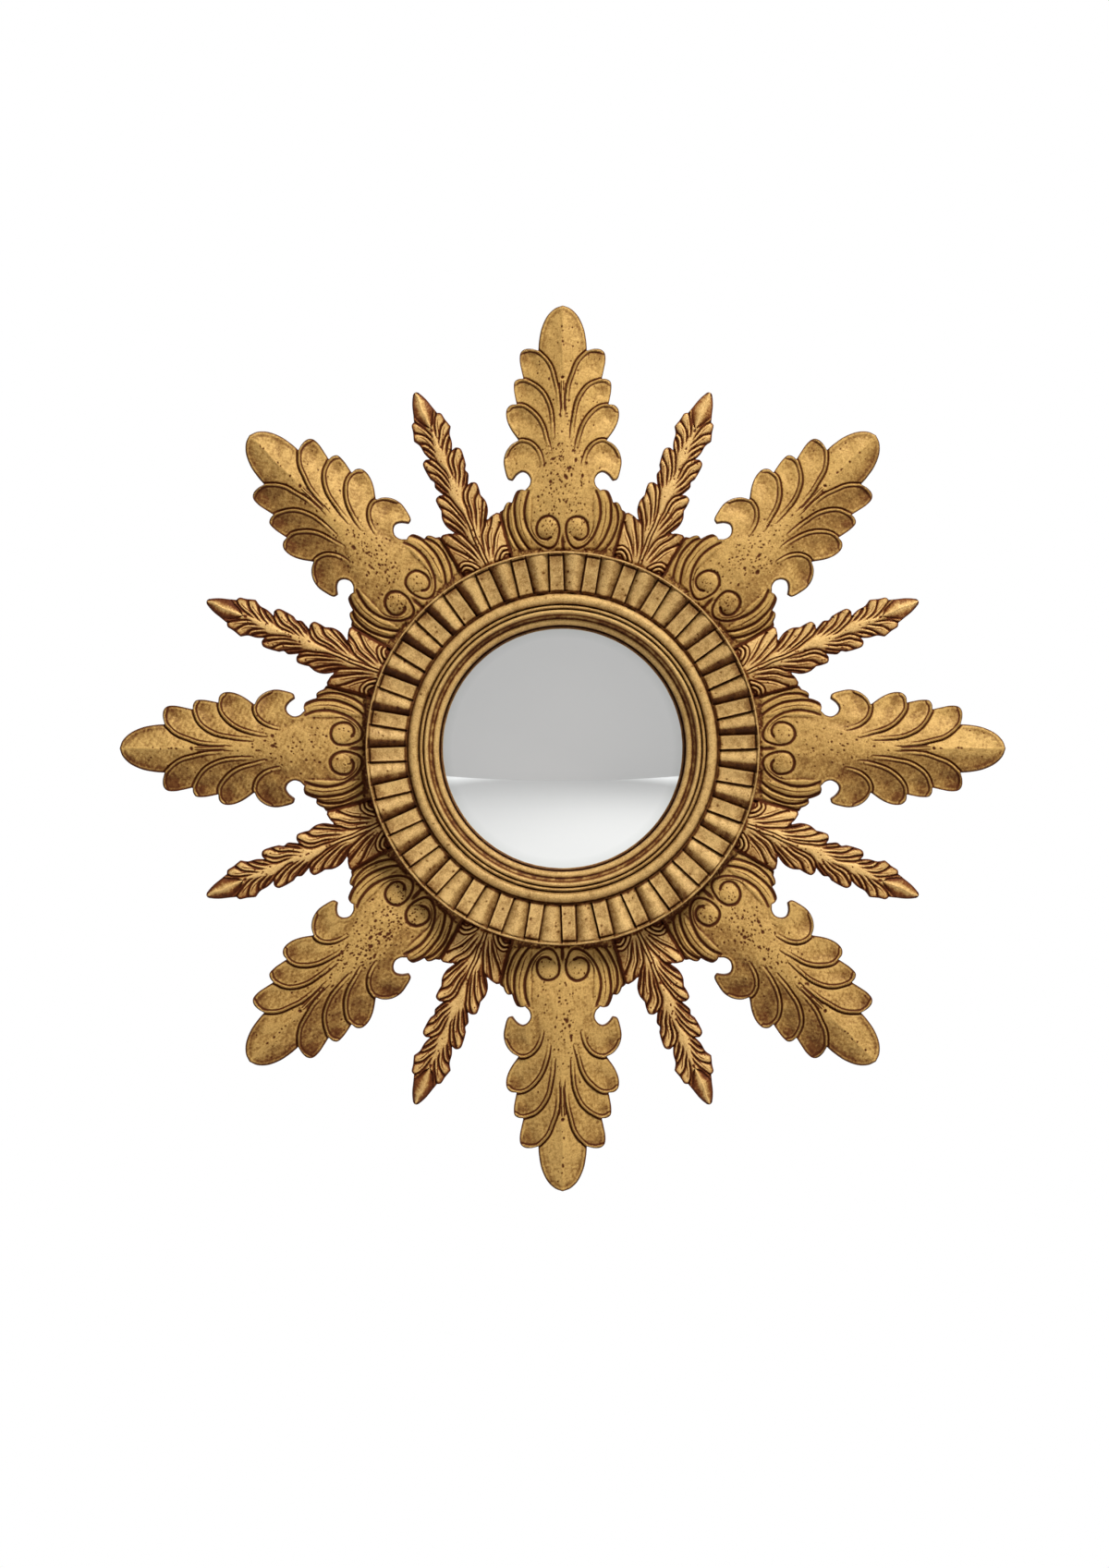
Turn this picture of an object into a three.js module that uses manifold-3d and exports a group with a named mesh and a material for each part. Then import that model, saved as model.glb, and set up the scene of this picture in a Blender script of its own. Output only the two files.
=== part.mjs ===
// A gilded sunburst wall mirror with a small convex glass.
//
// Eight leaf rays and eight narrow frond rays stand round a ring moulding. Every ray is a casting
// with a wedge-shaped root. The roots lie side by side on a plywood carrier ring, screws hold them
// from behind, and the ring moulding covers their inner ends. The convex glass lies behind a reeded
// slip, and a foam pad, a backing board and four turn buttons hold it from the back.
//
// Millimetres. +Z is up, the mirror looks along -Y, and the origin is the middle of its flat back.
// "Height" is the distance in front of that back. A ray is drawn as if it pointed straight up:
// "across" is along X and "out" is the distance from the ring moulding's outside wall.

import * as THREE from 'three';
import { mergeVertices } from 'three/addons/utils/BufferGeometryUtils.js';
import Module from 'manifold-3d';

const wasm = await Module();
wasm.setup();

// ---- driving dimensions ----

const FIT = 0.3;                    // gap between pieces that bear on each other
const CUT_START = -0.05;            // a cutter starts this far outside the face that it cuts

const GLASS_RADIUS = 101.5;         // an eight inch disc
const GLASS_THICKNESS = 3;
const GLASS_CURVE = 300;            // radius of the sphere that it is part of
const GLASS_PLAY = 1.5;             // gap round its edge
const GLASS_SUNK = 6;               // its front edge lies this far under the ring's ledge
const SIGHT_COVER = 5.4;            // how far the slip covers its edge
const STRIP_THICKNESS = 1;          // foam strip between the glass and the slip
const STRIP_SET_BACK = 1.1;         // keeps the strip out of sight

const SLIP_WIDTH = 17.3;
const BAND_WIDTH = 7.7;             // plain band round the slip
const GROOVE_WIDTH = 1.6;           // between the band and the frieze
const FRIEZE_WIDTH = 29.6;
const LIP_WIDTH = 2.4;              // rim that closes the frieze outside
const FLUTES = 32;                  // reeds in the frieze, and as many flat tongues between them
const TONGUE_WIDTH = 10.4;
const TONGUE_RISE = 1.8;
const REED_RISE = 2.6;
const REED_GAP = 0.8;               // between a reed and a tongue
const LIP_RISE = 3;
const BAND_RISE = 4.8;              // crest of the band over the frieze's inner edge
const LEDGE_RISE = 4.4;             // ledge that the slip lies on, over the roots
const FRIEZE_RISE = 10.9;           // inner edge of the frieze, over the roots
const FRIEZE_DISH = 6;              // the frieze is this much higher at its outer edge

const RAY_PAIRS = 8;                // leaf rays, and as many frond rays between them
const ROOT_THICKNESS = 7;           // what lies under the ring moulding
const ROOT_COVER = 26.5;            // how far the ring moulding covers the roots
const ROOT_PLAY = 1;                // gap at their inner ends
const ROOT_GAP = 0.15;              // gap between two roots, in degrees
const FACE_PLAY = 0.6;              // gap between the ring's wall and the carving
const LEAF_LENGTH = 195;            // from the ring's wall to the tip
const LEAF_SPREAD = 14.8;           // half angle of the root, in degrees
const LEAF_HEIGHT = 16;             // highest point over its back
const LOBE_STEP = 1.2;              // each lobe lies this much higher than the one above it
const SCROLL_RADIUS = 8.4;
const FROND_LENGTH = 150;
const FROND_HEIGHT = 12.5;
const TIER_STEP = 1.1;

const CARRIER_THICKNESS = 12;
const CARRIER_MARGIN = 15;          // how far it reaches past the ring moulding
const CARRIER_SET_BACK = 3;         // its opening is this much wider than the ring's bore
const BOARD_THICKNESS = 3;
const BOARD_PLAY = 0.8;             // gap round the backing board

const RING_SCREWS = 4;
const RAY_SCREW = { shank: 2, head: 4, headDepth: 2.6, sunk: 0.3, bite: 4.5, point: 3 };
const RING_SCREW = { shank: 2, head: 4, headDepth: 2.6, sunk: 0.3, bite: 13, point: 3 };
const PAN_SCREW = { shank: 1.4, head: 3.1, headHeight: 1.8, bite: 8.4, point: 2 };
const RAY_SCREW_OFFSET = 5;         // circle of ray screws outside the ring's wall

const BUTTONS = 4;
const BUTTON = { thickness: 1, width: 9, reach: 17, tail: 5, offset: 6 };
const STRAP = { thickness: 1, width: 13, length: 38, screws: [8, 28.5], below: 17.5 };
const HANG_RING = { wire: 1.1, width: 24, drop: 16, corner: 3, shoulder: 6 };
const WALL_GAP = 5;                 // the pads hold the back this far off the wall
const PAD_RADIUS = 8;
const PAD_INSET = 20;               // a pad's middle from the carrier's rim
const PAD_SPREAD = 33.75;           // a pad's angle from straight down

const GILT = { color: 0xb08a45, roughness: 0.45, metalness: 0.6 };
const PLYWOOD = { color: 0xb99468, roughness: 0.75, metalness: 0 };
const HARDBOARD = { color: 0x6e4c31, roughness: 0.85, metalness: 0 };
const FOAM = { color: 0x2b2b2b, roughness: 0.95, metalness: 0 };
const SILVERED = { color: 0xe4e8ea, roughness: 0.03, metalness: 1 };
const ZINC = { color: 0xbcbcb8, roughness: 0.35, metalness: 0.9 };
const BRASSED = { color: 0xb79a52, roughness: 0.35, metalness: 0.9 };
const RUBBER = { color: 0x3a3632, roughness: 0.9, metalness: 0 };

// ---- sizes that follow from them ----

const radians = THREE.MathUtils.degToRad;

const SIGHT_RADIUS = GLASS_RADIUS - SIGHT_COVER;
const RING_BORE = GLASS_RADIUS + GLASS_PLAY;
const SLIP_OUTER = SIGHT_RADIUS + SLIP_WIDTH;
const BAND_INNER = SLIP_OUTER + FIT;
const BAND_OUTER = BAND_INNER + BAND_WIDTH;
const FRIEZE_INNER = BAND_OUTER + GROOVE_WIDTH;
const FRIEZE_OUTER = FRIEZE_INNER + FRIEZE_WIDTH;
const RING_OUTER = FRIEZE_OUTER + LIP_WIDTH;
const ROOT_START = RING_OUTER - ROOT_COVER;
const RING_FOOT = ROOT_START - ROOT_PLAY;
const FACE_START = RING_OUTER + FACE_PLAY;
const CARRIER_INNER = RING_BORE + CARRIER_SET_BACK;
const CARRIER_OUTER = RING_OUTER + CARRIER_MARGIN;
const BOARD_RADIUS = CARRIER_INNER - BOARD_PLAY;
const FILLING_RADIUS = GLASS_RADIUS - FIT;      // strip and pad end just inside the glass's edge

const RAY_BACK = CARRIER_THICKNESS + FIT;
const ROOT_TOP = RAY_BACK + ROOT_THICKNESS + FIT;
const RING_LEDGE = ROOT_TOP + LEDGE_RISE;
const FRIEZE_INNER_HEIGHT = ROOT_TOP + FRIEZE_RISE;
const FRIEZE_OUTER_HEIGHT = FRIEZE_INNER_HEIGHT + FRIEZE_DISH;
const GLASS_FRONT_EDGE = RING_LEDGE - GLASS_SUNK;
const GLASS_BACK_EDGE = GLASS_FRONT_EDGE - GLASS_THICKNESS;

const PITCH = 360 / FLUTES;
const RAY_PITCH = 180 / RAY_PAIRS;
const FROND_SPREAD = RAY_PITCH - LEAF_SPREAD - ROOT_GAP;
const RAY_SCREW_CIRCLE = RING_OUTER + RAY_SCREW_OFFSET;
const RING_SCREW_CIRCLE = (BAND_INNER + RING_FOOT) / 2;
const BUTTON_CIRCLE = CARRIER_INNER + BUTTON.offset;
const HANGER_TOP = CARRIER_OUTER - STRAP.below;
const PIN_DEPTH = FIT + STRAP.thickness + FIT + HANG_RING.wire;

// Height of the glass's front at a radius.
function glassFront(radius) {
  const dome = (at) => Math.sqrt(GLASS_CURVE ** 2 - at ** 2);
  return GLASS_FRONT_EDGE + dome(radius) - dome(GLASS_RADIUS);
}

// Height of the dished frieze at a radius.
function friezeHeight(radius) {
  const share = (radius - FRIEZE_INNER) / FRIEZE_WIDTH;
  return FRIEZE_INNER_HEIGHT + share * FRIEZE_DISH;
}

// Equally spaced angles round the ring, the first at the given one.
function around(count, first) {
  return Array.from({ length: count }, (_, i) => first + (i * 360) / count);
}

const ringScrewAngles = around(RING_SCREWS, RAY_PITCH);
const buttonAngles = around(BUTTONS, 2 * RAY_PITCH);

// ---- solids ----

// A closed geometry as a solid that can be joined and cut.
function solid(geometry) {
  const plain = geometry.index ? geometry.toNonIndexed() : geometry;
  const bare = new THREE.BufferGeometry().setAttribute('position', plain.getAttribute('position'));
  const merged = mergeVertices(bare, 1e-4);
  return new wasm.Manifold(new wasm.Mesh({
    numProp: 3,
    vertProperties: new Float32Array(merged.attributes.position.array),
    triVerts: new Uint32Array(merged.index.array),
  }));
}

// A solid back as a geometry with flat shading.
function geometryOf(body) {
  const made = body.getMesh();
  const geometry = new THREE.BufferGeometry();
  geometry.setAttribute('position', new THREE.BufferAttribute(made.vertProperties, 3));
  geometry.setIndex(new THREE.BufferAttribute(made.triVerts, 1));
  const flat = geometry.toNonIndexed();
  flat.computeVertexNormals();
  return flat;
}

// A ring, disc or pin turned about the mirror's axis from [radius, height] pairs. The pairs start
// and end on the axis, or else go round a section: outwards along its back, inwards along its front.
function turned(pairs, sides) {
  const points = pairs.map(([radius, height]) => new THREE.Vector2(radius, -height));
  if (pairs[0][0] > 0) points.push(points[0].clone());
  return new THREE.LatheGeometry(points.reverse(), sides);
}

// A flat outline, drawn across and out, raised from one height to another.
function plate(shape, from, to, curveSegments = 1) {
  const depth = to - from;
  const geometry = new THREE.ExtrudeGeometry(shape, { depth, bevelEnabled: false, curveSegments });
  return geometry.rotateX(Math.PI / 2).translate(0, -from, 0);
}

// A pin along the mirror's depth between two heights, at a place on the vertical middle line.
function peg(radius, from, to, up, sides) {
  const geometry = new THREE.CylinderGeometry(radius, radius, to - from, sides);
  return geometry.translate(0, -(from + to) / 2, up);
}

// A body whose sections, of equally many points, are joined one after another. Each section runs
// anticlockwise for someone who looks back from the last one.
function loft(sections) {
  const count = sections[0].length;
  const last = (sections.length - 1) * count;
  const index = [];
  for (let start = 0; start < last; start += count) {
    for (let j = 0; j < count; j += 1) {
      const a = start + j;
      const b = start + ((j + 1) % count);
      index.push(a, b, a + count, b, b + count, a + count);
    }
  }
  for (let j = 1; j < count - 1; j += 1) {
    index.push(0, j + 1, j);
    index.push(last, last + j, last + j + 1);
  }
  return new THREE.BufferGeometry().setFromPoints(sections.flat()).setIndex(index);
}

// ---- drawings of the rays ----

// A drawing holds the right half of a ray. Its runs are the edge from the tip down, and each ends in
// the notch where the next begins. Its corner is where the edge meets the root's straight side.
// Its keel is the ridge along the middle: [out, half width, how far below the highest point].
// "length" and "halfRoot" are the sizes that the points were drawn for.

const leafDrawing = {
  length: 195,
  halfRoot: 40.95,
  corner: 32,
  runs: [
    [[0, 195], [6.5, 192.6], [12.5, 186.5], [16.8, 177], [18.7, 167], [19.2, 159.8]],
    [[19.2, 159.8], [24.5, 161.2], [30, 160.8], [33.4, 157.6], [33.9, 151.5], [32.6, 144.5], [31, 137.6]],
    [[31, 137.6], [35, 137.2], [38.2, 134.6], [38.5, 128.5], [37.4, 122], [36.4, 117.4]],
    [[36.4, 117.4], [41.2, 116.6], [44.4, 112.6], [44.3, 105.5], [41, 97.5], [34.8, 88.6]],
    [[34.8, 88.6], [40.5, 85.6], [45, 79.5], [46.7, 72], [45.6, 64.5], [43.5, 58.2], [40, 56.7]],
    [[40, 56.7], [36.3, 61.4], [32, 63.6], [27.8, 61.8], [25.4, 57.2], [26.4, 52.4], [29.6, 48.8]],
    [[29.6, 48.8], [33, 49.4], [36.2, 48.4], [38.4, 44.5], [40, 39.6]],
    [[40, 39.6], [43.2, 39.6], [45.4, 37.4], [47, 34]],
  ],
  // The upper edge of each lobe as it sweeps in over the leaf.
  rims: [
    [[19.2, 159.8], [14.5, 155.5], [10.5, 148], [7.3, 138], [5.2, 126], [3.9, 113]],
    [[31, 137.6], [25, 135.6], [19, 131.5], [14.5, 125.5], [11.3, 118], [9.2, 109], [7.4, 94]],
    [[36.4, 117.4], [30, 115.5], [24, 111], [18.8, 104.5], [15, 96], [11, 80]],
    [[34.8, 88.6], [29, 87.8], [23.5, 84], [19.2, 77.5], [15.8, 68]],
  ],
  keel: [[2.6, 20, 4], [50, 22, 0], [90, 16, 0.5], [167, 12, 5.5], [193, 3, 8.5]],
  scroll: [11, 18.2],
};

const frondDrawing = {
  length: 150,
  halfRoot: 20.54,
  corner: 36,
  runs: [
    [[0, 150], [3, 147.4], [6, 141], [8.2, 133.5], [9.8, 128]],
    [[9.8, 128], [12.6, 126], [13.6, 121], [15.7, 114]],
    [[15.7, 114], [12.8, 109], [11.8, 102], [9.4, 96]],
    [[9.4, 96], [13, 96.8], [16.2, 94.2], [16.2, 88], [15.3, 81.5]],
    [[15.3, 81.5], [13.3, 77.8], [14.3, 74], [12.6, 70], [10.4, 66]],
    [[10.4, 66], [14, 66.6], [17.4, 64.6], [17.6, 60], [16.8, 55]],
    [[16.8, 55], [18.7, 48.5], [17.6, 41.5], [13.2, 34.2]],
    [[13.2, 34.2], [18, 36.2], [23, 37.2]],
  ],
  // The runs at whose first notch a lower tier of fronds begins.
  tiers: [3, 5, 7],
  keel: [[2.6, 5, 2], [50, 10, 0], [129, 7, 1.5], [148, 2, 5.3]],
};

// A drawing stretched to a ray's real length and root, as functions that place its points.
function fitted(drawing, length, spread) {
  const wide = (RING_OUTER * Math.tan(radians(spread))) / drawing.halfRoot;
  const long = length / drawing.length;
  const at = ([across, out]) => new THREE.Vector2(across * wide, RING_OUTER + out * long);
  const smooth = (run, steps) => new THREE.SplineCurve(run.map(at)).getPoints(steps);
  const corner = at([0, drawing.corner]).y;

  // The edge from one run onwards, and the root down to the radius where it starts.
  const edge = (first, steps, start) => {
    const points = drawing.runs.slice(first).flatMap((run) => smooth(run, steps).slice(0, -1));
    points.push(at(drawing.runs.at(-1).at(-1)));
    points.push(new THREE.Vector2(corner * Math.tan(radians(spread)), corner));
    const arcSteps = Math.ceil(spread / 4);
    for (let i = arcSteps; i >= 0; i -= 1) {
      const angle = radians((spread * i) / arcSteps);
      points.push(new THREE.Vector2(start * Math.sin(angle), start * Math.cos(angle)));
    }
    return points;
  };

  // The ridge, with sloping sides that reach down to a base.
  const keel = (height, base) => loft(drawing.keel.map(([out, half, drop]) => {
    const foot = at([half, out]);
    return [
      new THREE.Vector3(-foot.x, -base, foot.y),
      new THREE.Vector3(0, drop - height, foot.y),
      new THREE.Vector3(foot.x, -base, foot.y),
    ];
  }));
  return { at, smooth, edge, keel };
}

// A whole outline from the points of its right half, which run from the top to the bottom middle.
function mirrored(half) {
  const left = half.filter((point) => point.x > 1e-6).map(({ x, y }) => new THREE.Vector2(-x, y));
  return new THREE.Shape([...left, ...half.reverse()]);
}

// The hole for a ray's screw, from the ray's back to a little past the screw's point.
function rayPilot() {
  const depth = RAY_SCREW.sunk + RAY_SCREW.bite + FIT;
  return solid(peg(RAY_SCREW.shank + FIT, CUT_START, depth, RAY_SCREW_CIRCLE, 6));
}

// ---- the rays ----

function leafRay() {
  const { at, smooth, edge, keel } = fitted(leafDrawing, LEAF_LENGTH, LEAF_SPREAD);
  const steps = 3;
  let body = solid(plate(mirrored(edge(0, steps, ROOT_START)), 0, ROOT_THICKNESS));
  leafDrawing.rims.forEach((rim, i) => {
    const inward = smooth(rim, steps).reverse();
    const shape = mirrored([...inward.slice(0, -1), ...edge(i + 1, steps, FACE_START)]);
    body = body.add(solid(plate(shape, 0, ROOT_THICKNESS + LOBE_STEP * (i + 1))));
  });
  body = body.add(solid(keel(LEAF_HEIGHT, ROOT_THICKNESS - 1)));
  const scroll = at(leafDrawing.scroll);
  const disc = solid(peg(SCROLL_RADIUS, 1, LEAF_HEIGHT - 2, scroll.y, 10));
  body = body.add(disc.translate([scroll.x, 0, 0])).add(disc.translate([-scroll.x, 0, 0]));
  return body.subtract(rayPilot());
}

function frondRay() {
  const { at, edge, keel } = fitted(frondDrawing, FROND_LENGTH, FROND_SPREAD);
  const steps = 2;
  const base = ROOT_THICKNESS - 0.5;
  let body = solid(plate(mirrored(edge(0, steps, ROOT_START)), 0, base));
  frondDrawing.tiers.forEach((first, i) => {
    const [across, out] = frondDrawing.runs[first][0];
    const valley = at([0, out - 1.4 * across]);
    const shape = mirrored([valley, ...edge(first, steps, FACE_START)]);
    body = body.add(solid(plate(shape, 0, base + TIER_STEP * (i + 1))));
  });
  return body.add(solid(keel(FROND_HEIGHT, base - 1))).subtract(rayPilot());
}

// ---- the ring moulding ----

function ringProfile() {
  return [
    [RING_BORE, RAY_BACK],
    [RING_FOOT, RAY_BACK],
    [RING_FOOT, ROOT_TOP],
    [RING_OUTER, ROOT_TOP],
    [RING_OUTER, FRIEZE_OUTER_HEIGHT + LIP_RISE - 1],
    [RING_OUTER - 1, FRIEZE_OUTER_HEIGHT + LIP_RISE],
    [FRIEZE_OUTER, FRIEZE_OUTER_HEIGHT + LIP_RISE - 0.2],
    [FRIEZE_OUTER, FRIEZE_OUTER_HEIGHT],
    [FRIEZE_INNER, FRIEZE_INNER_HEIGHT],
    [BAND_OUTER, FRIEZE_INNER_HEIGHT + 0.5],
    [BAND_OUTER - 0.1 * BAND_WIDTH, FRIEZE_INNER_HEIGHT + 0.75 * BAND_RISE],
    [BAND_OUTER - 0.5 * BAND_WIDTH, FRIEZE_INNER_HEIGHT + BAND_RISE],
    [BAND_INNER, FRIEZE_INNER_HEIGHT + 0.7 * BAND_RISE],
    [BAND_INNER, RING_LEDGE],
    [RING_BORE, RING_LEDGE],
  ];
}

// A bar that lies on the frieze between two radii. Its section holds [across, rise] pairs, and
// "half" gives its half width at a radius.
function friezeBar(section, half, inner, outer) {
  return loft([inner, outer].map((radius) => section.map(([across, rise]) => (
    new THREE.Vector3(across * half(radius), -(friezeHeight(radius) + rise), radius)
  ))));
}

// A reed is a low arch that fills the space between two tongues, so it widens outwards.
function reed() {
  const section = [
    [1, -2 * REED_RISE], [-1, -2 * REED_RISE], [-0.9, 0.6 * REED_RISE], [-0.5, REED_RISE],
    [0.5, REED_RISE], [0.9, 0.6 * REED_RISE],
  ];
  const half = (radius) => radius * Math.sin(radians(PITCH / 2)) - TONGUE_WIDTH / 2 - REED_GAP;
  return friezeBar(section, half, FRIEZE_INNER + 0.1, FRIEZE_OUTER + 0.5);
}

// A tongue is a flat raised pad with straight sides.
function tongue() {
  const section = [
    [1, -TONGUE_RISE], [-1, -TONGUE_RISE], [-1, TONGUE_RISE], [1, TONGUE_RISE],
  ];
  return friezeBar(section, () => TONGUE_WIDTH / 2, FRIEZE_INNER + 0.6, FRIEZE_OUTER - 0.8);
}

function ringMoulding() {
  let body = solid(turned(ringProfile(), 2 * FLUTES));
  const oneReed = solid(reed());
  const oneTongue = solid(tongue());
  around(FLUTES, 0).forEach((angle) => {
    body = body.add(oneReed.rotate([0, angle + PITCH / 2, 0])).add(oneTongue.rotate([0, angle, 0]));
  });
  const depth = CARRIER_THICKNESS + RING_SCREW.sunk + RING_SCREW.bite + FIT;
  const pilot = solid(peg(RING_SCREW.shank + FIT, 0, depth, RING_SCREW_CIRCLE, 6));
  ringScrewAngles.forEach((angle) => {
    body = body.subtract(pilot.rotate([0, angle, 0]));
  });
  return body;
}

// ---- the slip, the glass and what holds it ----

// Two beads, a hollow and a low roll next to the glass.
function slipGeometry() {
  const under = glassFront(SIGHT_RADIUS) + STRIP_THICKNESS + FIT;
  const seat = RING_LEDGE + FIT;
  return turned([
    [SIGHT_RADIUS, under],
    [RING_BORE - FIT, under],
    [RING_BORE - FIT, seat],
    [SLIP_OUTER, seat],
    [SLIP_OUTER, seat + 8.3],
    [SLIP_OUTER - 1.8, seat + 9.3],
    [SLIP_OUTER - 3.6, seat + 7.5],
    [SLIP_OUTER - 5.6, seat + 8.7],
    [SLIP_OUTER - 9.2, seat + 2.9],
    [SLIP_OUTER - 13.6, seat + 3.3],
    [SIGHT_RADIUS, under + 2.2],
  ], 48);
}

// The glass is a shell of two equal domes, with a ground edge.
function glassGeometry() {
  const steps = 5;
  const radii = Array.from({ length: steps + 1 }, (_, i) => (GLASS_RADIUS * i) / steps);
  const front = radii.map((radius) => [radius, glassFront(radius)]);
  const back = radii.map((radius) => [radius, glassFront(radius) - GLASS_THICKNESS]);
  return turned([...back, ...front.reverse()], 40);
}

function stripGeometry() {
  const inner = SIGHT_RADIUS + STRIP_SET_BACK;
  const top = glassFront(SIGHT_RADIUS) + STRIP_THICKNESS;
  return turned([
    [inner, glassFront(inner) + FIT],
    [FILLING_RADIUS, glassFront(FILLING_RADIUS) + FIT],
    [FILLING_RADIUS, top],
    [inner, top],
  ], 40);
}

function padGeometry() {
  const front = GLASS_BACK_EDGE - FIT;
  const back = BOARD_THICKNESS + FIT;
  return turned([[0, back], [FILLING_RADIUS, back], [FILLING_RADIUS, front], [0, front]], 40);
}

function boardGeometry() {
  return turned([
    [0, 0], [BOARD_RADIUS, 0], [BOARD_RADIUS, BOARD_THICKNESS], [0, BOARD_THICKNESS],
  ], 64);
}

// ---- the carrier ring ----

// A countersunk hole through the carrier, clear of its screw all round.
function screwHole(screw, up) {
  const wide = screw.head + FIT;
  const narrow = screw.shank + FIT;
  const far = CARRIER_THICKNESS + 1;
  return solid(turned([
    [0, CUT_START],
    [wide, CUT_START],
    [wide, screw.sunk + FIT],
    [narrow, screw.sunk + screw.headDepth + 2 * FIT],
    [narrow, far],
    [0, far],
  ], 6).translate(0, 0, up));
}

function panHole(up) {
  return solid(peg(PAN_SCREW.shank + FIT, CUT_START, PAN_SCREW.bite + 2 * FIT, up, 6));
}

function carrierRing() {
  const profile = [
    [CARRIER_INNER, 0], [CARRIER_OUTER, 0],
    [CARRIER_OUTER, CARRIER_THICKNESS], [CARRIER_INNER, CARRIER_THICKNESS],
  ];
  const holes = [
    ...STRAP.screws.map((below) => panHole(HANGER_TOP - below)),
    ...buttonAngles.map((angle) => panHole(BUTTON_CIRCLE).rotate([0, angle, 0])),
    ...around(2 * RAY_PAIRS, 0).map((angle) => (
      screwHole(RAY_SCREW, RAY_SCREW_CIRCLE).rotate([0, angle, 0])
    )),
    ...ringScrewAngles.map((angle) => (
      screwHole(RING_SCREW, RING_SCREW_CIRCLE).rotate([0, angle, 0])
    )),
  ];
  return holes.reduce((body, hole) => body.subtract(hole), solid(turned(profile, 64)));
}

// ---- screws, turn buttons, hanger and pads ----

// A countersunk screw driven from the back, with a pointed end.
function countersunkScrew(screw) {
  const end = CARRIER_THICKNESS + screw.sunk + screw.bite;
  return turned([
    [0, screw.sunk],
    [screw.head, screw.sunk],
    [screw.shank, screw.sunk + screw.headDepth],
    [screw.shank, end - screw.point],
    [0, end],
  ], 6);
}

// A pan head screw that holds a plate of the given thickness against the back.
function panScrew(thickness) {
  const under = -(FIT + thickness + FIT / 2);
  const top = under - PAN_SCREW.headHeight;
  return turned([
    [0, top],
    [PAN_SCREW.head * 0.75, top],
    [PAN_SCREW.head, top + 0.6 * PAN_SCREW.headHeight],
    [PAN_SCREW.head, under],
    [PAN_SCREW.shank, under],
    [PAN_SCREW.shank, PAN_SCREW.bite - PAN_SCREW.point],
    [0, PAN_SCREW.bite],
  ], 8);
}

// A turn button about its screw. Its long end points at the mirror's middle, over the board's edge.
function turnButton() {
  const half = BUTTON.width / 2;
  const tip = 0.8 * half;
  const shape = new THREE.Shape();
  shape.absarc(0, BUTTON.tail - half, half, 0, Math.PI, false);
  shape.absarc(0, tip - BUTTON.reach, tip, Math.PI, 2 * Math.PI, false);
  shape.closePath();
  const hole = new THREE.Path();
  hole.absarc(0, 0, PAN_SCREW.shank + FIT, 0, 2 * Math.PI, true);
  shape.holes.push(hole);
  return plate(shape, -FIT - BUTTON.thickness, -FIT, 5);
}

// The strap is a flat plate on the back whose upper end is rolled round the hanging ring's pin.
function strap() {
  const curl = HANG_RING.wire + FIT + STRAP.thickness;
  const flat = new THREE.BoxGeometry(STRAP.width, STRAP.thickness, STRAP.length);
  flat.translate(0, FIT + STRAP.thickness / 2, HANGER_TOP - STRAP.length / 2);
  const roll = (radius, width) => {
    const geometry = new THREE.CylinderGeometry(radius, radius, width, 12).rotateZ(Math.PI / 2);
    return solid(geometry.translate(0, PIN_DEPTH, HANGER_TOP));
  };
  let body = solid(flat).add(roll(curl, STRAP.width));
  body = body.subtract(roll(HANG_RING.wire + FIT, STRAP.width + 2));
  STRAP.screws.forEach((below) => {
    body = body.subtract(solid(peg(PAN_SCREW.shank + FIT, -5, 0, HANGER_TOP - below, 8)));
  });
  return body;
}

// The hanging ring is a D of round wire that stands up from its straight side, which is its pin.
function hangRing() {
  const half = HANG_RING.width / 2 - HANG_RING.wire;
  const { corner, shoulder, drop } = HANG_RING;
  const at = (across, up) => new THREE.Vector3(across, 0, up);
  const line = (from, to) => new THREE.LineCurve3(from, to);
  const path = new THREE.CurvePath();
  path.add(line(at(0, 0), at(half - corner, 0)));
  path.add(new THREE.QuadraticBezierCurve3(at(half - corner, 0), at(half, 0), at(half, corner)));
  path.add(line(at(half, corner), at(half, shoulder)));
  path.add(new THREE.CubicBezierCurve3(
    at(half, shoulder), at(half, drop), at(-half, drop), at(-half, shoulder),
  ));
  path.add(line(at(-half, shoulder), at(-half, corner)));
  path.add(new THREE.QuadraticBezierCurve3(at(-half, corner), at(-half, 0), at(corner - half, 0)));
  path.add(line(at(corner - half, 0), at(0, 0)));
  return wireLoop(path.getSpacedPoints(26).slice(0, -1), HANG_RING.wire, 6);
}

// Round wire bent into a closed loop through points of the XZ plane.
function wireLoop(points, radius, sides) {
  const count = points.length;
  const corners = points.flatMap((point, i) => {
    const along = points[(i + 1) % count].clone().sub(points.at(i - 1)).normalize();
    const outward = new THREE.Vector3(along.z, 0, -along.x);
    return around(sides, 0).map((angle) => point.clone()
      .addScaledVector(outward, radius * Math.cos(radians(angle)))
      .add(new THREE.Vector3(0, radius * Math.sin(radians(angle)), 0)));
  });
  const index = [];
  for (let i = 0; i < count; i += 1) {
    for (let j = 0; j < sides; j += 1) {
      const next = (j + 1) % sides;
      const here = i * sides;
      const there = ((i + 1) % count) * sides;
      index.push(here + j, here + next, there + j, here + next, there + next, there + j);
    }
  }
  return new THREE.BufferGeometry().setFromPoints(corners).setIndex(index);
}

// ---- assembly ----

const mirror = new THREE.Group();

// Adds a named piece, moved to a height and up the middle line, in a group that is then turned
// clockwise, as seen from the front.
function place(name, geometry, finish, { clockwise = 0, height = 0, up = 0 } = {}) {
  const mesh = new THREE.Mesh(geometry, new THREE.MeshStandardMaterial(finish));
  mesh.name = name;
  mesh.position.set(0, -height, up);
  const turn = new THREE.Group();
  turn.rotation.y = radians(clockwise);
  turn.add(mesh);
  mirror.add(turn);
}

place('carrier_ring', geometryOf(carrierRing()), PLYWOOD);

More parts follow.
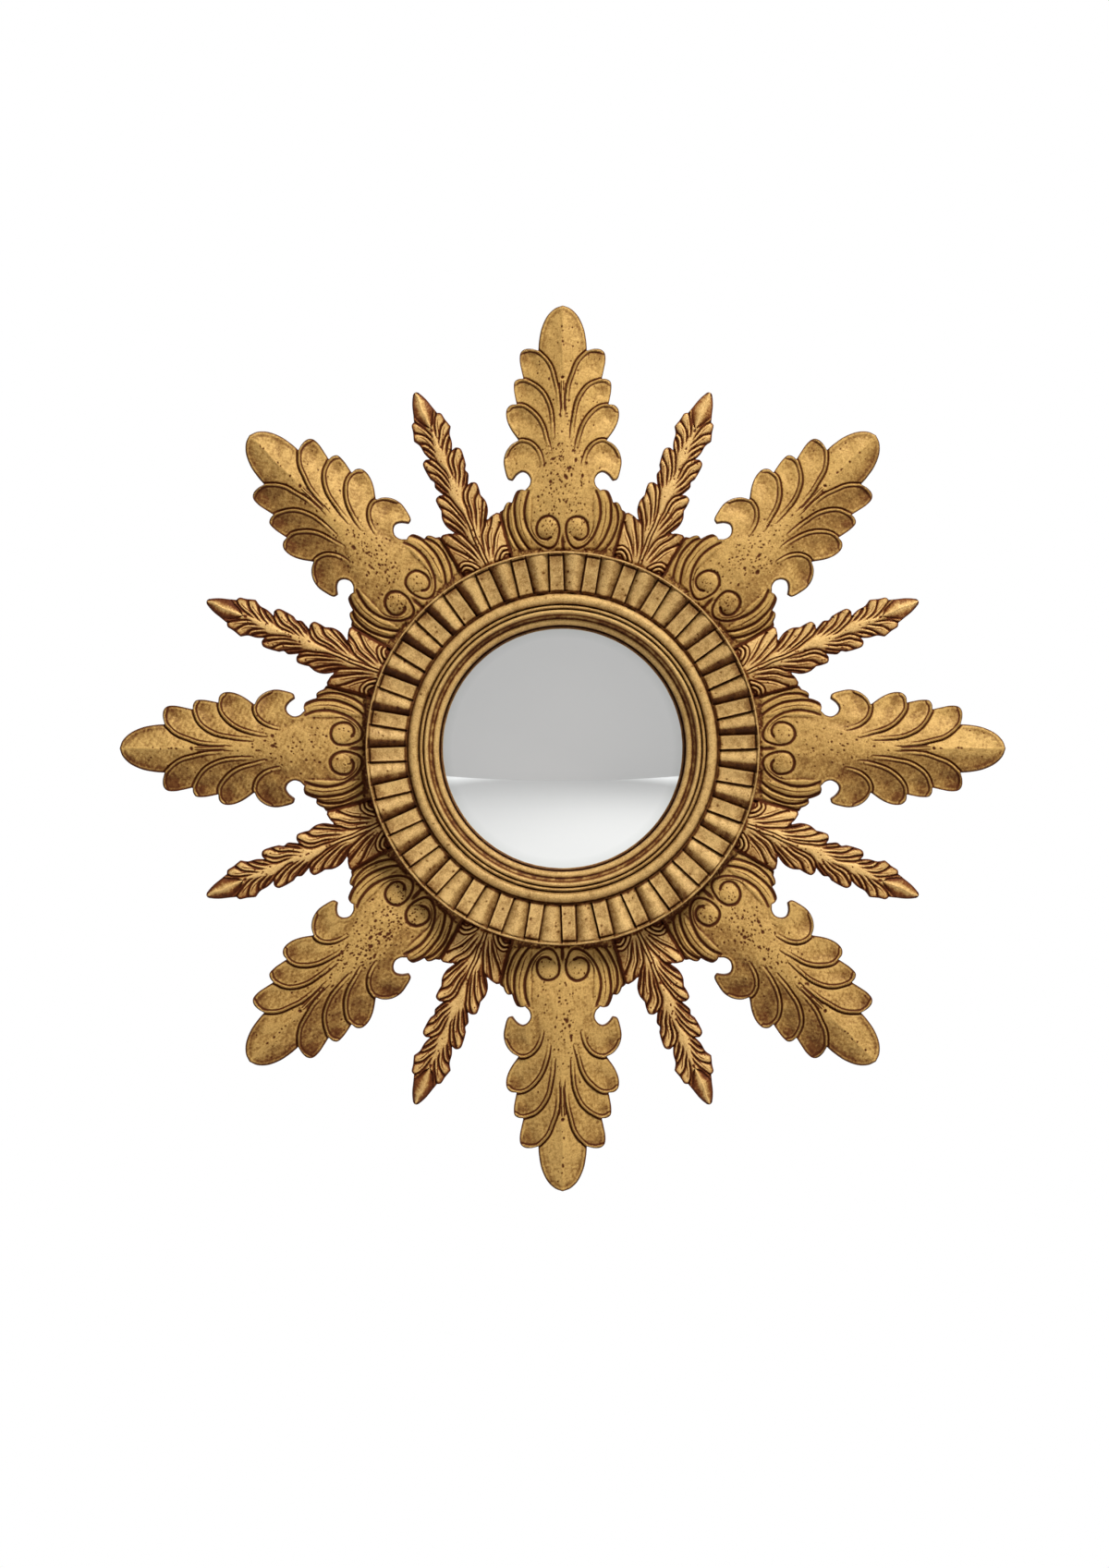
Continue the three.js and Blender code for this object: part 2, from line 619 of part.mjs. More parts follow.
const leaf = geometryOf(leafRay());
const frond = geometryOf(frondRay());
around(RAY_PAIRS, 0).forEach((angle, i) => {
  const between = angle + RAY_PITCH;
  place(`leaf_ray_${i + 1}`, leaf, GILT, { clockwise: angle, height: RAY_BACK });
  place(`frond_ray_${i + 1}`, frond, GILT, { clockwise: between, height: RAY_BACK });
  const screw = countersunkScrew(RAY_SCREW);
  place(`leaf_screw_${i + 1}`, screw, ZINC, { clockwise: angle, up: RAY_SCREW_CIRCLE });
  place(`frond_screw_${i + 1}`, screw, ZINC, { clockwise: between, up: RAY_SCREW_CIRCLE });
});

place('ring_moulding', geometryOf(ringMoulding()), GILT);
ringScrewAngles.forEach((clockwise, i) => {
  const at = { clockwise, up: RING_SCREW_CIRCLE };
  place(`ring_screw_${i + 1}`, countersunkScrew(RING_SCREW), ZINC, at);
});
place('reeded_slip', slipGeometry(), GILT);
place('glazing_strip', stripGeometry(), FOAM);
place('convex_glass', glassGeometry(), SILVERED);
place('packing_pad', padGeometry(), FOAM);
place('backing_board', boardGeometry(), HARDBOARD);

buttonAngles.forEach((clockwise, i) => {
  const at = { clockwise, up: BUTTON_CIRCLE };
  place(`turn_button_${i + 1}`, turnButton(), ZINC, at);
  place(`button_screw_${i + 1}`, panScrew(BUTTON.thickness), ZINC, at);
});

place('hanger_strap', geometryOf(strap()), BRASSED);
STRAP.screws.forEach((below, i) => {
  place(`hanger_screw_${i + 1}`, panScrew(STRAP.thickness), BRASSED, { up: HANGER_TOP - below });
});
place('hanging_ring', hangRing(), BRASSED, { height: -PIN_DEPTH, up: HANGER_TOP });

[-PAD_SPREAD, PAD_SPREAD].forEach((angle, i) => {
  const pad = peg(PAD_RADIUS, -WALL_GAP, -FIT, CARRIER_OUTER - PAD_INSET, 20);
  place(`wall_pad_${i + 1}`, pad, RUBBER, { clockwise: 180 + angle });
});

export default mirror;
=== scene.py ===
import math

import bmesh
import bpy
import numpy as np
from mathutils import Matrix, Vector


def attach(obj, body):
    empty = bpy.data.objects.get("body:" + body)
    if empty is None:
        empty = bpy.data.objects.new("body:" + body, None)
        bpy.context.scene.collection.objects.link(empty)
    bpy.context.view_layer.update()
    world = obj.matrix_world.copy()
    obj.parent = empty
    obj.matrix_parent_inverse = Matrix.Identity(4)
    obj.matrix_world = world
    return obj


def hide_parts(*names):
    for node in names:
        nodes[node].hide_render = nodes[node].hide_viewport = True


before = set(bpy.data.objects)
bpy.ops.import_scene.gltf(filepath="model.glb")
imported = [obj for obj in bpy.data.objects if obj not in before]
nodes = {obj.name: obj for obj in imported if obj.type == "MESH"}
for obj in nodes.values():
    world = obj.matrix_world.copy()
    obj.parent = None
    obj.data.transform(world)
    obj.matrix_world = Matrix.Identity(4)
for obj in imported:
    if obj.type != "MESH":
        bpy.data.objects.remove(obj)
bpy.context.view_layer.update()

# ---- carrier ring ----
# The mirror is built on a ring of birch plywood, 12 mm thick, that lies hidden behind the rays.
# It is cut out with a router, and its edge shows the plies.

MM = 0.001
CARRIER_INNER = 106 * MM
CARRIER_OUTER = 170 * MM
CARRIER_THICKNESS = 12 * MM
PLIES = 9


def new_finish(name):
    """A material with its node tree and its shader."""
    finish = bpy.data.materials.new(name)
    finish.use_nodes = True
    tree = finish.node_tree
    return finish, tree, tree.nodes["Principled BSDF"]


def add(tree, kind, inputs=None, **settings):
    """A node whose inputs take numbers or other nodes' outputs."""
    made = tree.nodes.new(kind)
    for key, value in settings.items():
        setattr(made, key, value)
    for key, value in (inputs or {}).items():
        if isinstance(value, bpy.types.NodeSocket):
            tree.links.new(value, made.inputs[key])
        else:
            made.inputs[key].default_value = value
    return made


def sum_of(tree, *parts):
    """The sum of outputs, each with its own share: (output, share, middle)."""
    total = None
    for output, share, middle in parts:
        moved = add(tree, "ShaderNodeMath", {0: output, 1: middle}, operation="SUBTRACT").outputs[0]
        scaled = add(tree, "ShaderNodeMath", {0: moved, 1: share}, operation="MULTIPLY").outputs[0]
        if total is None:
            total = scaled
        else:
            total = add(tree, "ShaderNodeMath", {0: total, 1: scaled}, operation="ADD").outputs[0]
    return total


def linear(red, green, blue):
    """A colour picked as it looks on a screen (0 to 255), as the shader's linear numbers."""
    def one(value):
        value /= 255
        return value / 12.92 if value <= 0.04045 else ((value + 0.055) / 1.055) ** 2.4
    return (one(red), one(green), one(blue), 1)


def ramp(tree, factor, stops, interpolation="LINEAR"):
    """A colour that runs through stops of (place, colour)."""
    made = add(tree, "ShaderNodeValToRGB", {"Fac": factor})
    band = made.color_ramp
    band.interpolation = interpolation
    while len(band.elements) < len(stops):
        band.elements.new(0.5)
    for element, (place, colour) in zip(band.elements, stops):
        element.position = place
        element.color = colour
    return made.outputs["Color"]


def between(tree, value, low, high, start=0.0, end=1.0):
    """A number that runs from low to high while value runs from start to end."""
    return add(tree, "ShaderNodeMapRange", {
        "Value": value, "From Min": start, "From Max": end, "To Min": low, "To Max": high,
    }).outputs["Result"]


def relief_of(tree, shader, height, strength, distance):
    """Lets a height pattern roughen the shader's surface."""
    bump = add(tree, "ShaderNodeBump", {
        "Height": height, "Strength": strength, "Distance": distance,
    })
    tree.links.new(bump.outputs["Normal"], shader.inputs["Normal"])


def birch_plywood():
    finish, tree, shader = new_finish("birch_plywood")
    place = add(tree, "ShaderNodeTexCoord").outputs["Object"]
    along = add(tree, "ShaderNodeMapping", {"Vector": place, "Scale": (90, 1, 9)}).outputs[0]
    fibre = add(tree, "ShaderNodeTexNoise", {
        "Vector": along, "Scale": 6, "Detail": 6, "Roughness": 0.65}).outputs["Fac"]
    figure = add(tree, "ShaderNodeMapping", {"Vector": place, "Scale": (14, 1, 2.2)}).outputs[0]
    cathedral = add(tree, "ShaderNodeTexWave", {
        "Vector": figure, "Scale": 1.1, "Distortion": 11, "Detail": 3, "Detail Scale": 1.0},
        bands_direction="X").outputs["Fac"]
    grain = sum_of(tree, (fibre, 0.95, 0.05), (cathedral, 0.14, 0.2))
    face = ramp(tree, grain, [
        (0.15, linear(172, 136, 92)), (0.5, linear(200, 168, 124)), (0.85, linear(216, 188, 146))])
    depth = add(tree, "ShaderNodeSeparateXYZ", {"Vector": place}).outputs["Y"]
    ply = add(tree, "ShaderNodeMath", {
        0: depth, 1: PLIES / CARRIER_THICKNESS}, operation="MULTIPLY").outputs[0]
    swing = add(tree, "ShaderNodeMath", {0: ply, 1: 2.0}, operation="PINGPONG").outputs[0]
    edge = ramp(tree, swing, [
        (0.0, linear(120, 84, 50)), (0.42, linear(138, 98, 60)), (0.5, linear(204, 170, 124)),
        (1.0, linear(214, 184, 140))])
    shape = add(tree, "ShaderNodeNewGeometry").outputs["Normal"]
    tilt = add(tree, "ShaderNodeSeparateXYZ", {"Vector": shape}).outputs["Y"]
    flat = add(tree, "ShaderNodeMath", {0: tilt}, operation="ABSOLUTE").outputs[0]
    is_face = between(tree, flat, 0, 1, 0.6, 0.8)
    colour = add(tree, "ShaderNodeMix", {0: is_face, 6: edge, 7: face}, data_type="RGBA")
    tree.links.new(colour.outputs[2], shader.inputs["Base Color"])
    tree.links.new(between(tree, fibre, 0.55, 0.75), shader.inputs["Roughness"])
    relief_of(tree, shader, grain, 0.25, 0.0004)
    return finish


def finished(name, bm, finish, sharp=40, body="mirror", replaces=()):
    """A piece made of a bmesh, riding on its body, in place of the CAD nodes it stands for."""
    mesh = bpy.data.meshes.new(name)
    bm.to_mesh(mesh)
    bm.free()
    return placed(name, mesh, finish, sharp, body, replaces)


def placed(name, mesh, finish, sharp, body, replaces):
    mesh.materials.clear()
    mesh.materials.append(finish)
    mesh.shade_smooth()
    mesh.set_sharp_from_angle(angle=math.radians(sharp))
    piece = bpy.data.objects.new(name, mesh)
    bpy.context.scene.collection.objects.link(piece)
    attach(piece, body)
    if replaces:
        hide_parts(*replaces)
    return piece


def spun(profile, steps):
    """A body turned about the mirror's axis from a closed profile of (radius, height) in metres.
    Height is measured from the flat back towards the room."""
    bm = bmesh.new()
    corners = [bm.verts.new((radius, -height, 0)) for radius, height in profile]
    on_axis = [radius < 1e-9 for radius, _ in profile]
    for i, corner in enumerate(corners):
        j = (i + 1) % len(corners)
        if not (on_axis[i] and on_axis[j]):
            bm.edges.new((corner, corners[j]))
    bmesh.ops.spin(bm, geom=bm.verts[:] + bm.edges[:], cent=(0, 0, 0), axis=(0, 1, 0),
                   angle=2 * math.pi, steps=steps, use_merge=True)
    bmesh.ops.remove_doubles(bm, verts=bm.verts, dist=1e-7)
    bmesh.ops.recalc_face_normals(bm, faces=bm.faces)
    return bm


plywood = birch_plywood()
carrier_hull = bmesh.new()
carrier_hull.from_mesh(nodes["carrier_ring"].data)
bmesh.ops.remove_doubles(carrier_hull, verts=carrier_hull.verts, dist=1e-6)
bmesh.ops.dissolve_limit(carrier_hull, angle_limit=math.radians(1), verts=carrier_hull.verts,
                         edges=carrier_hull.edges)
rims = [edge for edge in carrier_hull.edges
        if all(abs(math.hypot(v.co.x, v.co.z) - CARRIER_OUTER) < 0.5 * MM for v in edge.verts)
        and abs(edge.verts[0].co.y - edge.verts[1].co.y) < 1e-5]
bmesh.ops.bevel(carrier_hull, geom=rims, offset=0.8 * MM, offset_type="OFFSET", segments=2,
                profile=0.5, affect="EDGES", material=-1)
bmesh.ops.triangulate(carrier_hull, faces=carrier_hull.faces)
finished("plywood_carrier", carrier_hull, plywood, 30, replaces=["carrier_ring"])

# ---- leaf rays ----
# Eight broad acanthus leaves, each cast in composition from the same mould, gilded with bronze
# and toned with a brown glaze that is wiped off the high places and stays in the hollows.
# Their roots lie between the plywood and the ring moulding, and a screw holds each from behind.

ROOT_START = 128.5            # inner end of a root, mm from the mirror's middle
RAY_BACK = 12.3               # a ray's back over the mirror's flat back
RING_WALL = 155.6             # where the carving comes out from under the ring
ROOT_THICKNESS = 7.0
LEAF_SPREAD = math.radians(14.9)
LEAF_CORNER = 187.0
LEAF_CELL = 0.56              # spacing of the carved surface's points
LEAF_EDGE = [                 # right half of the outline, each run ending in a notch
    [(0, 350), (6.5, 347.6), (12.5, 341.5), (16.8, 332), (18.7, 322), (19.2, 314.8)],
    [(19.2, 314.8), (24.5, 316.2), (30, 315.8), (33.4, 312.6), (33.9, 306.5), (32.6, 299.5),
     (31, 292.6)],
    [(31, 292.6), (35, 292.2), (38.2, 289.6), (38.5, 283.5), (37.4, 277), (36.4, 272.4)],
    [(36.4, 272.4), (41.2, 271.6), (44.4, 267.6), (44.3, 260.5), (41, 252.5), (34.8, 243.6)],
    [(34.8, 243.6), (40.5, 240.6), (45, 234.5), (46.7, 227), (45.6, 219.5), (43.5, 213.2),
     (40, 211.7)],
    [(40, 211.7), (36.3, 216.4), (32, 218.6), (27.8, 216.8), (25.4, 212.2), (26.4, 207.4),
     (29.6, 203.8)],
    [(29.6, 203.8), (33, 204.4), (36.2, 203.4), (38.4, 199.5), (40, 194.6)],
    [(40, 194.6), (43.2, 194.6), (45.4, 192.4), (47, 189)],
]
LEAF_RIDGE = [(128, 9), (155, 9), (175, 11.6), (195, 14.6), (215, 15.6), (240, 14.6),
              (270, 12.8), (300, 11.8), (330, 10.3), (352, 7.4)]
LEAF_RIMS = [                 # the rolled upper edge of each lobe, from the outside in
    [(33, 313.6), (29, 314.9), (24.5, 315.2), (19.3, 313.9), (14.3, 309.3), (10, 302.6),
     (6.9, 294.8), (4.8, 286.5), (3.5, 278), (2.7, 268)],
    [(37.6, 289), (34.5, 291.2), (30, 291.7), (24.8, 290), (19.6, 286.4), (14.8, 280.8),
     (11.6, 274.4), (9.5, 267), (8.2, 258.5), (7.1, 245)],
    [(43.4, 267.8), (40.2, 270.7), (35.4, 271.8), (30, 270.8), (24.8, 267.6), (19.8, 262.4),
     (16, 255.8), (13.3, 249), (11.4, 241.6), (10, 234)],
    [(45.6, 231), (42, 237.6), (37, 242), (32.2, 243.7), (27.2, 242.7), (22.8, 239.6),
     (19, 234.4), (16.9, 229), (15.8, 223.5)],
]
LEAF_DISHES = [               # across, out, radius, depth of the hollow in each lobe
    (26.5, 306.5, 6.5, 1.8), (22, 299, 6, 1.0), (31.5, 284, 6, 2.0), (25, 277, 6, 1.2),
    (37, 263.5, 6.5, 2.3), (29, 257, 7, 1.4), (38, 232.5, 7, 2.1), (30, 234, 6, 1.1),
    (9.5, 330, 7, 0.9),
]
LEAF_SCROLL = [               # the line that runs down the neck and curls round the disc
    (25.2, 205), (29, 196), (30.2, 186), (28.4, 176.4), (24, 167.6), (18.8, 161.2),
    (12.5, 158.2), (7.2, 159.6), (3.8, 165), (2.5, 172), (3.8, 178.6), (7.6, 182.2),
    (12.5, 183.2), (17.4, 181.2), (20.1, 176.2), (20, 169.8), (16.9, 165.6), (12.5, 164.8),
    (9.4, 166.4)]
LEAF_SCROLL_INNER = [(25.4, 181), (24.2, 173.5), (20.6, 166.6), (16, 162.2), (11.3, 161.3)]
LEAF_DISC = (11.9, 174.2, 7.6)
LEAF_FRONDS = [               # lines between the small fronds beside the neck
    [(34.2, 204), (37, 197.6), (38.3, 189.4), (37.2, 177.6), (34, 168.6), (29.6, 161.4),
     (26, 157)],
    [(39.9, 195.6), (42.6, 190), (43.6, 183.6), (42.6, 175), (39.4, 166.4), (36.2, 160.6),
     (33.6, 157)],
    [(47.2, 190), (48.6, 183), (47, 172), (43.4, 163), (40.6, 157.6)],
]
LEAF_FINE = [                 # a thin line along the middle of each small frond
    [(31.4, 202.6), (33.6, 195.6), (34.3, 187), (32.8, 176), (29.2, 166.4), (24.4, 159.6)],
    [(38, 199), (40.2, 193.4), (41.2, 186), (40, 176), (36.9, 167.4), (33, 160.4)],
    [(43.8, 193.6), (46, 187.6), (46, 180), (43.8, 170.4), (40.2, 162.6)],
]
LEAF_PITTED = (1.0, 0.55, 0.2, 0.6, 0.3, 0.95, 0.3, 0.6)     # clockwise from the top
# how much glaze each ray keeps, clockwise from the top; the rise towards the lower left is painted shade of light
# from the upper right
RAY_TONE_AND_SHADE = (1.0, 1.0, 1.15, 1.35, 1.35, 1.45, 1.5, 1.2)
LEAF_VEINS = [[(0.95, 292), (1.0, 280), (0.85, 262)], [(2.5, 290), (2.2, 278), (1.9, 258)]]


def smooth_line(points, steps=6):
    """A smooth line through drawn points."""
    drawn = np.array(points, float)
    ends = np.vstack([2 * drawn[0] - drawn[1], drawn, 2 * drawn[-1] - drawn[-2]])
    t = np.linspace(0, 1, steps, endpoint=False)[:, None]
    parts = []
    for a, b, c, d in zip(ends, ends[1:], ends[2:], ends[3:]):
        parts.append(0.5 * (2 * b + (c - a) * t + (2 * a - 5 * b + 4 * c - d) * t ** 2
                            + (3 * b - a - 3 * c + d) * t ** 3))
    return np.vstack(parts + [drawn[-1:]])


def beside(spots, line):
    """For each spot: its distance from a line, the side it lies on (plus is left of the way the
    line runs), the share of the line's length at the nearest place, and that place."""
    start, step = line[:-1], np.diff(line, axis=0)
    length = np.hypot(*step.T)
    before = np.concatenate([[0], np.cumsum(length)[:-1]])
    away, side, share, nearest = [], [], [], []
    for part in np.array_split(spots, max(1, len(spots) // 6000)):
        offset = part[:, None, :] - start[None]
        t = np.clip((offset * step).sum(-1) / np.maximum(length ** 2, 1e-12), 0, 1)
        gap = offset - t[..., None] * step
        square = (gap ** 2).sum(-1)
        best = square.argmin(1)
        row = np.arange(len(part))
        away.append(np.sqrt(square[row, best]))
        turn = step[best, 0] * gap[row, best, 1] - step[best, 1] * gap[row, best, 0]
        side.append(np.sign(turn))
        share.append((before[best] + t[row, best] * length[best]) / length.sum())
        nearest.append(part - gap[row, best])
    return (np.concatenate(away), np.concatenate(side), np.concatenate(share),
            np.vstack(nearest))


def within(spots, edge):
    """Whether each spot lies inside a closed outline."""
    inside = np.zeros(len(spots), bool)
    across, out = spots.T
    for (x0, y0), (x1, y1) in zip(edge, np.roll(edge, -1, axis=0)):
        if y0 != y1:
            crosses = (y0 > out) != (y1 > out)
            inside ^= crosses & (across < (x1 - x0) * (out - y0) / (y1 - y0) + x0)
    return inside


def whole_edge(runs, corner, spread, start):
    """The closed outline of a ray, from its drawn right half and its wedge-shaped root."""
    half = [point for run in runs for point in smooth_line(run)[:-1]]
    half.append(runs[-1][-1])
    half.append((corner * math.tan(spread), corner))
    half.append((start * math.tan(spread), start))
    half = np.array(half)
    left = half[::-1] * (-1, 1)
    return np.vstack([half, left[:-1]])


def blurred(grid, there, cells):
    """A soft copy of the heights on a grid, which leaves out the places that aren't there."""
    reach = int(3 * cells)
    weights = np.exp(-0.5 * (np.arange(-reach, reach + 1) / cells) ** 2)
    weights /= weights.sum()

    def spread(values):
        for axis in (0, 1):
            widths = [(0, 0), (0, 0)]
            widths[axis] = (reach, reach)
            padded = np.pad(values, widths)
            size = values.shape[axis]
            values = sum(w * np.take(padded, range(k, k + size), axis)
                         for k, w in enumerate(weights))
        return values
    return spread(np.where(there, grid, 0)) / np.maximum(spread(there.astype(float)), 1e-6)


def unevenness(spots, size, seed):
    """Gentle random waves of about the given size, from -1 to 1."""
    chance = np.random.RandomState(seed)
    total = np.zeros(len(spots))
    for _ in range(14):
        angle, phase = chance.uniform(0, 2 * math.pi, 2)
        pull = 2 * math.pi / (size * chance.uniform(0.7, 1.8))
        total += np.sin(pull * (math.cos(angle) * spots[:, 0] + math.sin(angle) * spots[:, 1])
                        + phase)
    return total / math.sqrt(14)


def mottling(spots, size, seed):
    """Random patches of about the given size, from 0 to 1, with no repeat."""
    table = np.random.RandomState(seed).rand(512, 512)
    cell = spots / size + 7.3
    low = np.floor(cell).astype(int)
    part = cell - low
    part = part * part * (3 - 2 * part)
    a = table[low[:, 1] % 512, low[:, 0] % 512]
    b = table[low[:, 1] % 512, (low[:, 0] + 1) % 512]
    c = table[(low[:, 1] + 1) % 512, low[:, 0] % 512]
    d = table[(low[:, 1] + 1) % 512, (low[:, 0] + 1) % 512]
    return ((a * (1 - part[:, 0]) + b * part[:, 0]) * (1 - part[:, 1])
            + (c * (1 - part[:, 0]) + d * part[:, 0]) * part[:, 1])


def bell(value, width):
    return np.exp(-(value / width) ** 2)


def rise(value, start, end):
    """A smooth step from 0 to 1."""
    t = np.clip((value - start) / (end - start), 0, 1)
    return t * t * (3 - 2 * t)


class Blank:
    """A ray's flat blank: a sheet of quads cut to the outline, with straight walls and a back.
    Its points keep their place on the sheet, so that the carving can be worked out for them."""

    def __init__(self, runs, corner, spread, cell, tip):
        self.edge = whole_edge(runs, corner, spread, ROOT_START)
        rows = [ROOT_START, 134, 141, 148, 153]
        rows += list(np.arange(RING_WALL - 0.6, tip + 2 * cell, cell))
        wide = corner * math.tan(spread)
        columns = 2 * math.ceil(wide / cell)
        bm = bmesh.new()
        bmesh.ops.create_grid(bm, x_segments=columns, y_segments=len(rows) - 1, size=1)
        row_layer = bm.verts.layers.int.new("row")
        column_layer = bm.verts.layers.int.new("column")
        for vert in bm.verts:
            row = round((vert.co.y + 1) / 2 * (len(rows) - 1))
            vert[row_layer] = row
            vert[column_layer] = round((vert.co.x + 1) / 2 * columns)
            half = min(rows[row] * math.tan(spread), wide)
            vert.co = (vert.co.x * half, rows[row], 0)
        flat = np.array([vert.co[:2] for vert in bm.verts])
        depth = beside(flat, np.vstack([self.edge, self.edge[:1]]))[0]
        depth[~within(flat, self.edge)] *= -1
        root = flat[:, 1] < corner - 1
        waste = [vert for vert, d, r in zip(bm.verts, depth, root) if d < -0.42 * cell and not r]
        bmesh.ops.delete(bm, geom=waste, context="VERTS")
        while True:
            pinched = [vert for vert in bm.verts
                       if sum(edge.is_boundary for edge in vert.link_edges) != 2
                       and (vert.is_boundary or not vert.link_faces)]
            if not pinched:
                break
            bmesh.ops.delete(bm, geom=pinched, context="VERTS")
        rim = [vert for vert in bm.verts if vert.is_boundary and vert.co.y > corner - 1]
        moved = beside(np.array([vert.co[:2] for vert in rim]),
                       np.vstack([self.edge, self.edge[:1]]))[3]
        for vert, (across, out) in zip(rim, moved):
            vert.co = (across, out, 0)
        self.face_count = len(bm.verts)
        bm.verts.index_update()
        # the wall goes down in three steps, the middle ones a little outside the back
        border = [edge for edge in bm.edges if edge.is_boundary]
        for layer in (1, 2, 3):
            made = bmesh.ops.extrude_edge_only(bm, edges=border)["geom"]
            for vert in (item for item in made if isinstance(item, bmesh.types.BMVert)):
                vert.co.z = layer
            border = [item for item in made if isinstance(item, bmesh.types.BMEdge)
                      and item.is_boundary]
        bmesh.ops.holes_fill(bm, edges=border, sides=0)
        bmesh.ops.recalc_face_normals(bm, faces=bm.faces)
        bmesh.ops.reverse_faces(bm, faces=bm.faces)
        bm.verts.index_update()
        co = np.array([vert.co for vert in bm.verts])
        self.flat, self.layer = co[:, :2], co[:, 2].round().astype(int)
        self.row = np.array([vert[row_layer] for vert in bm.verts])
        self.column = np.array([vert[column_layer] for vert in bm.verts])
        self.top = self.layer == 0
        self.mesh = bpy.data.meshes.new("blank")
        bm.to_mesh(self.mesh)
        bm.free()
        self.mesh.attributes.remove(self.mesh.attributes["row"])
        self.mesh.attributes.remove(self.mesh.attributes["column"])
        self.depth = beside(self.flat, np.vstack([self.edge, self.edge[:1]]))[0]
        # the size of the grid the points were laid on, in rows and columns
        self.shape = (len(rows), columns + 1)

    def hollows(self, heights, cells):
        """How far each point of the face lies below its surroundings."""
        grid, there = np.zeros(self.shape), np.zeros(self.shape, bool)
        row, column = self.row[self.top], self.column[self.top]
        grid[row, column], there[row, column] = heights[self.top], True
        found = np.zeros(len(heights))
        found[self.top] = (blurred(grid, there, cells) - grid)[row, column]
        return found


def hand_drawn(blank, amount):
    """Places on the right half, moved a little where the carver's lines aren't quite the same."""
    spots = blank.flat.copy()
    sway = amount * rise(blank.depth, 0.5, 5)
    spots[:, 0] += sway * unevenness(blank.flat, 22, 301)
    spots[:, 1] += sway * unevenness(blank.flat, 22, 302)
    spots[:, 0] = np.abs(spots[:, 0])
    return spots


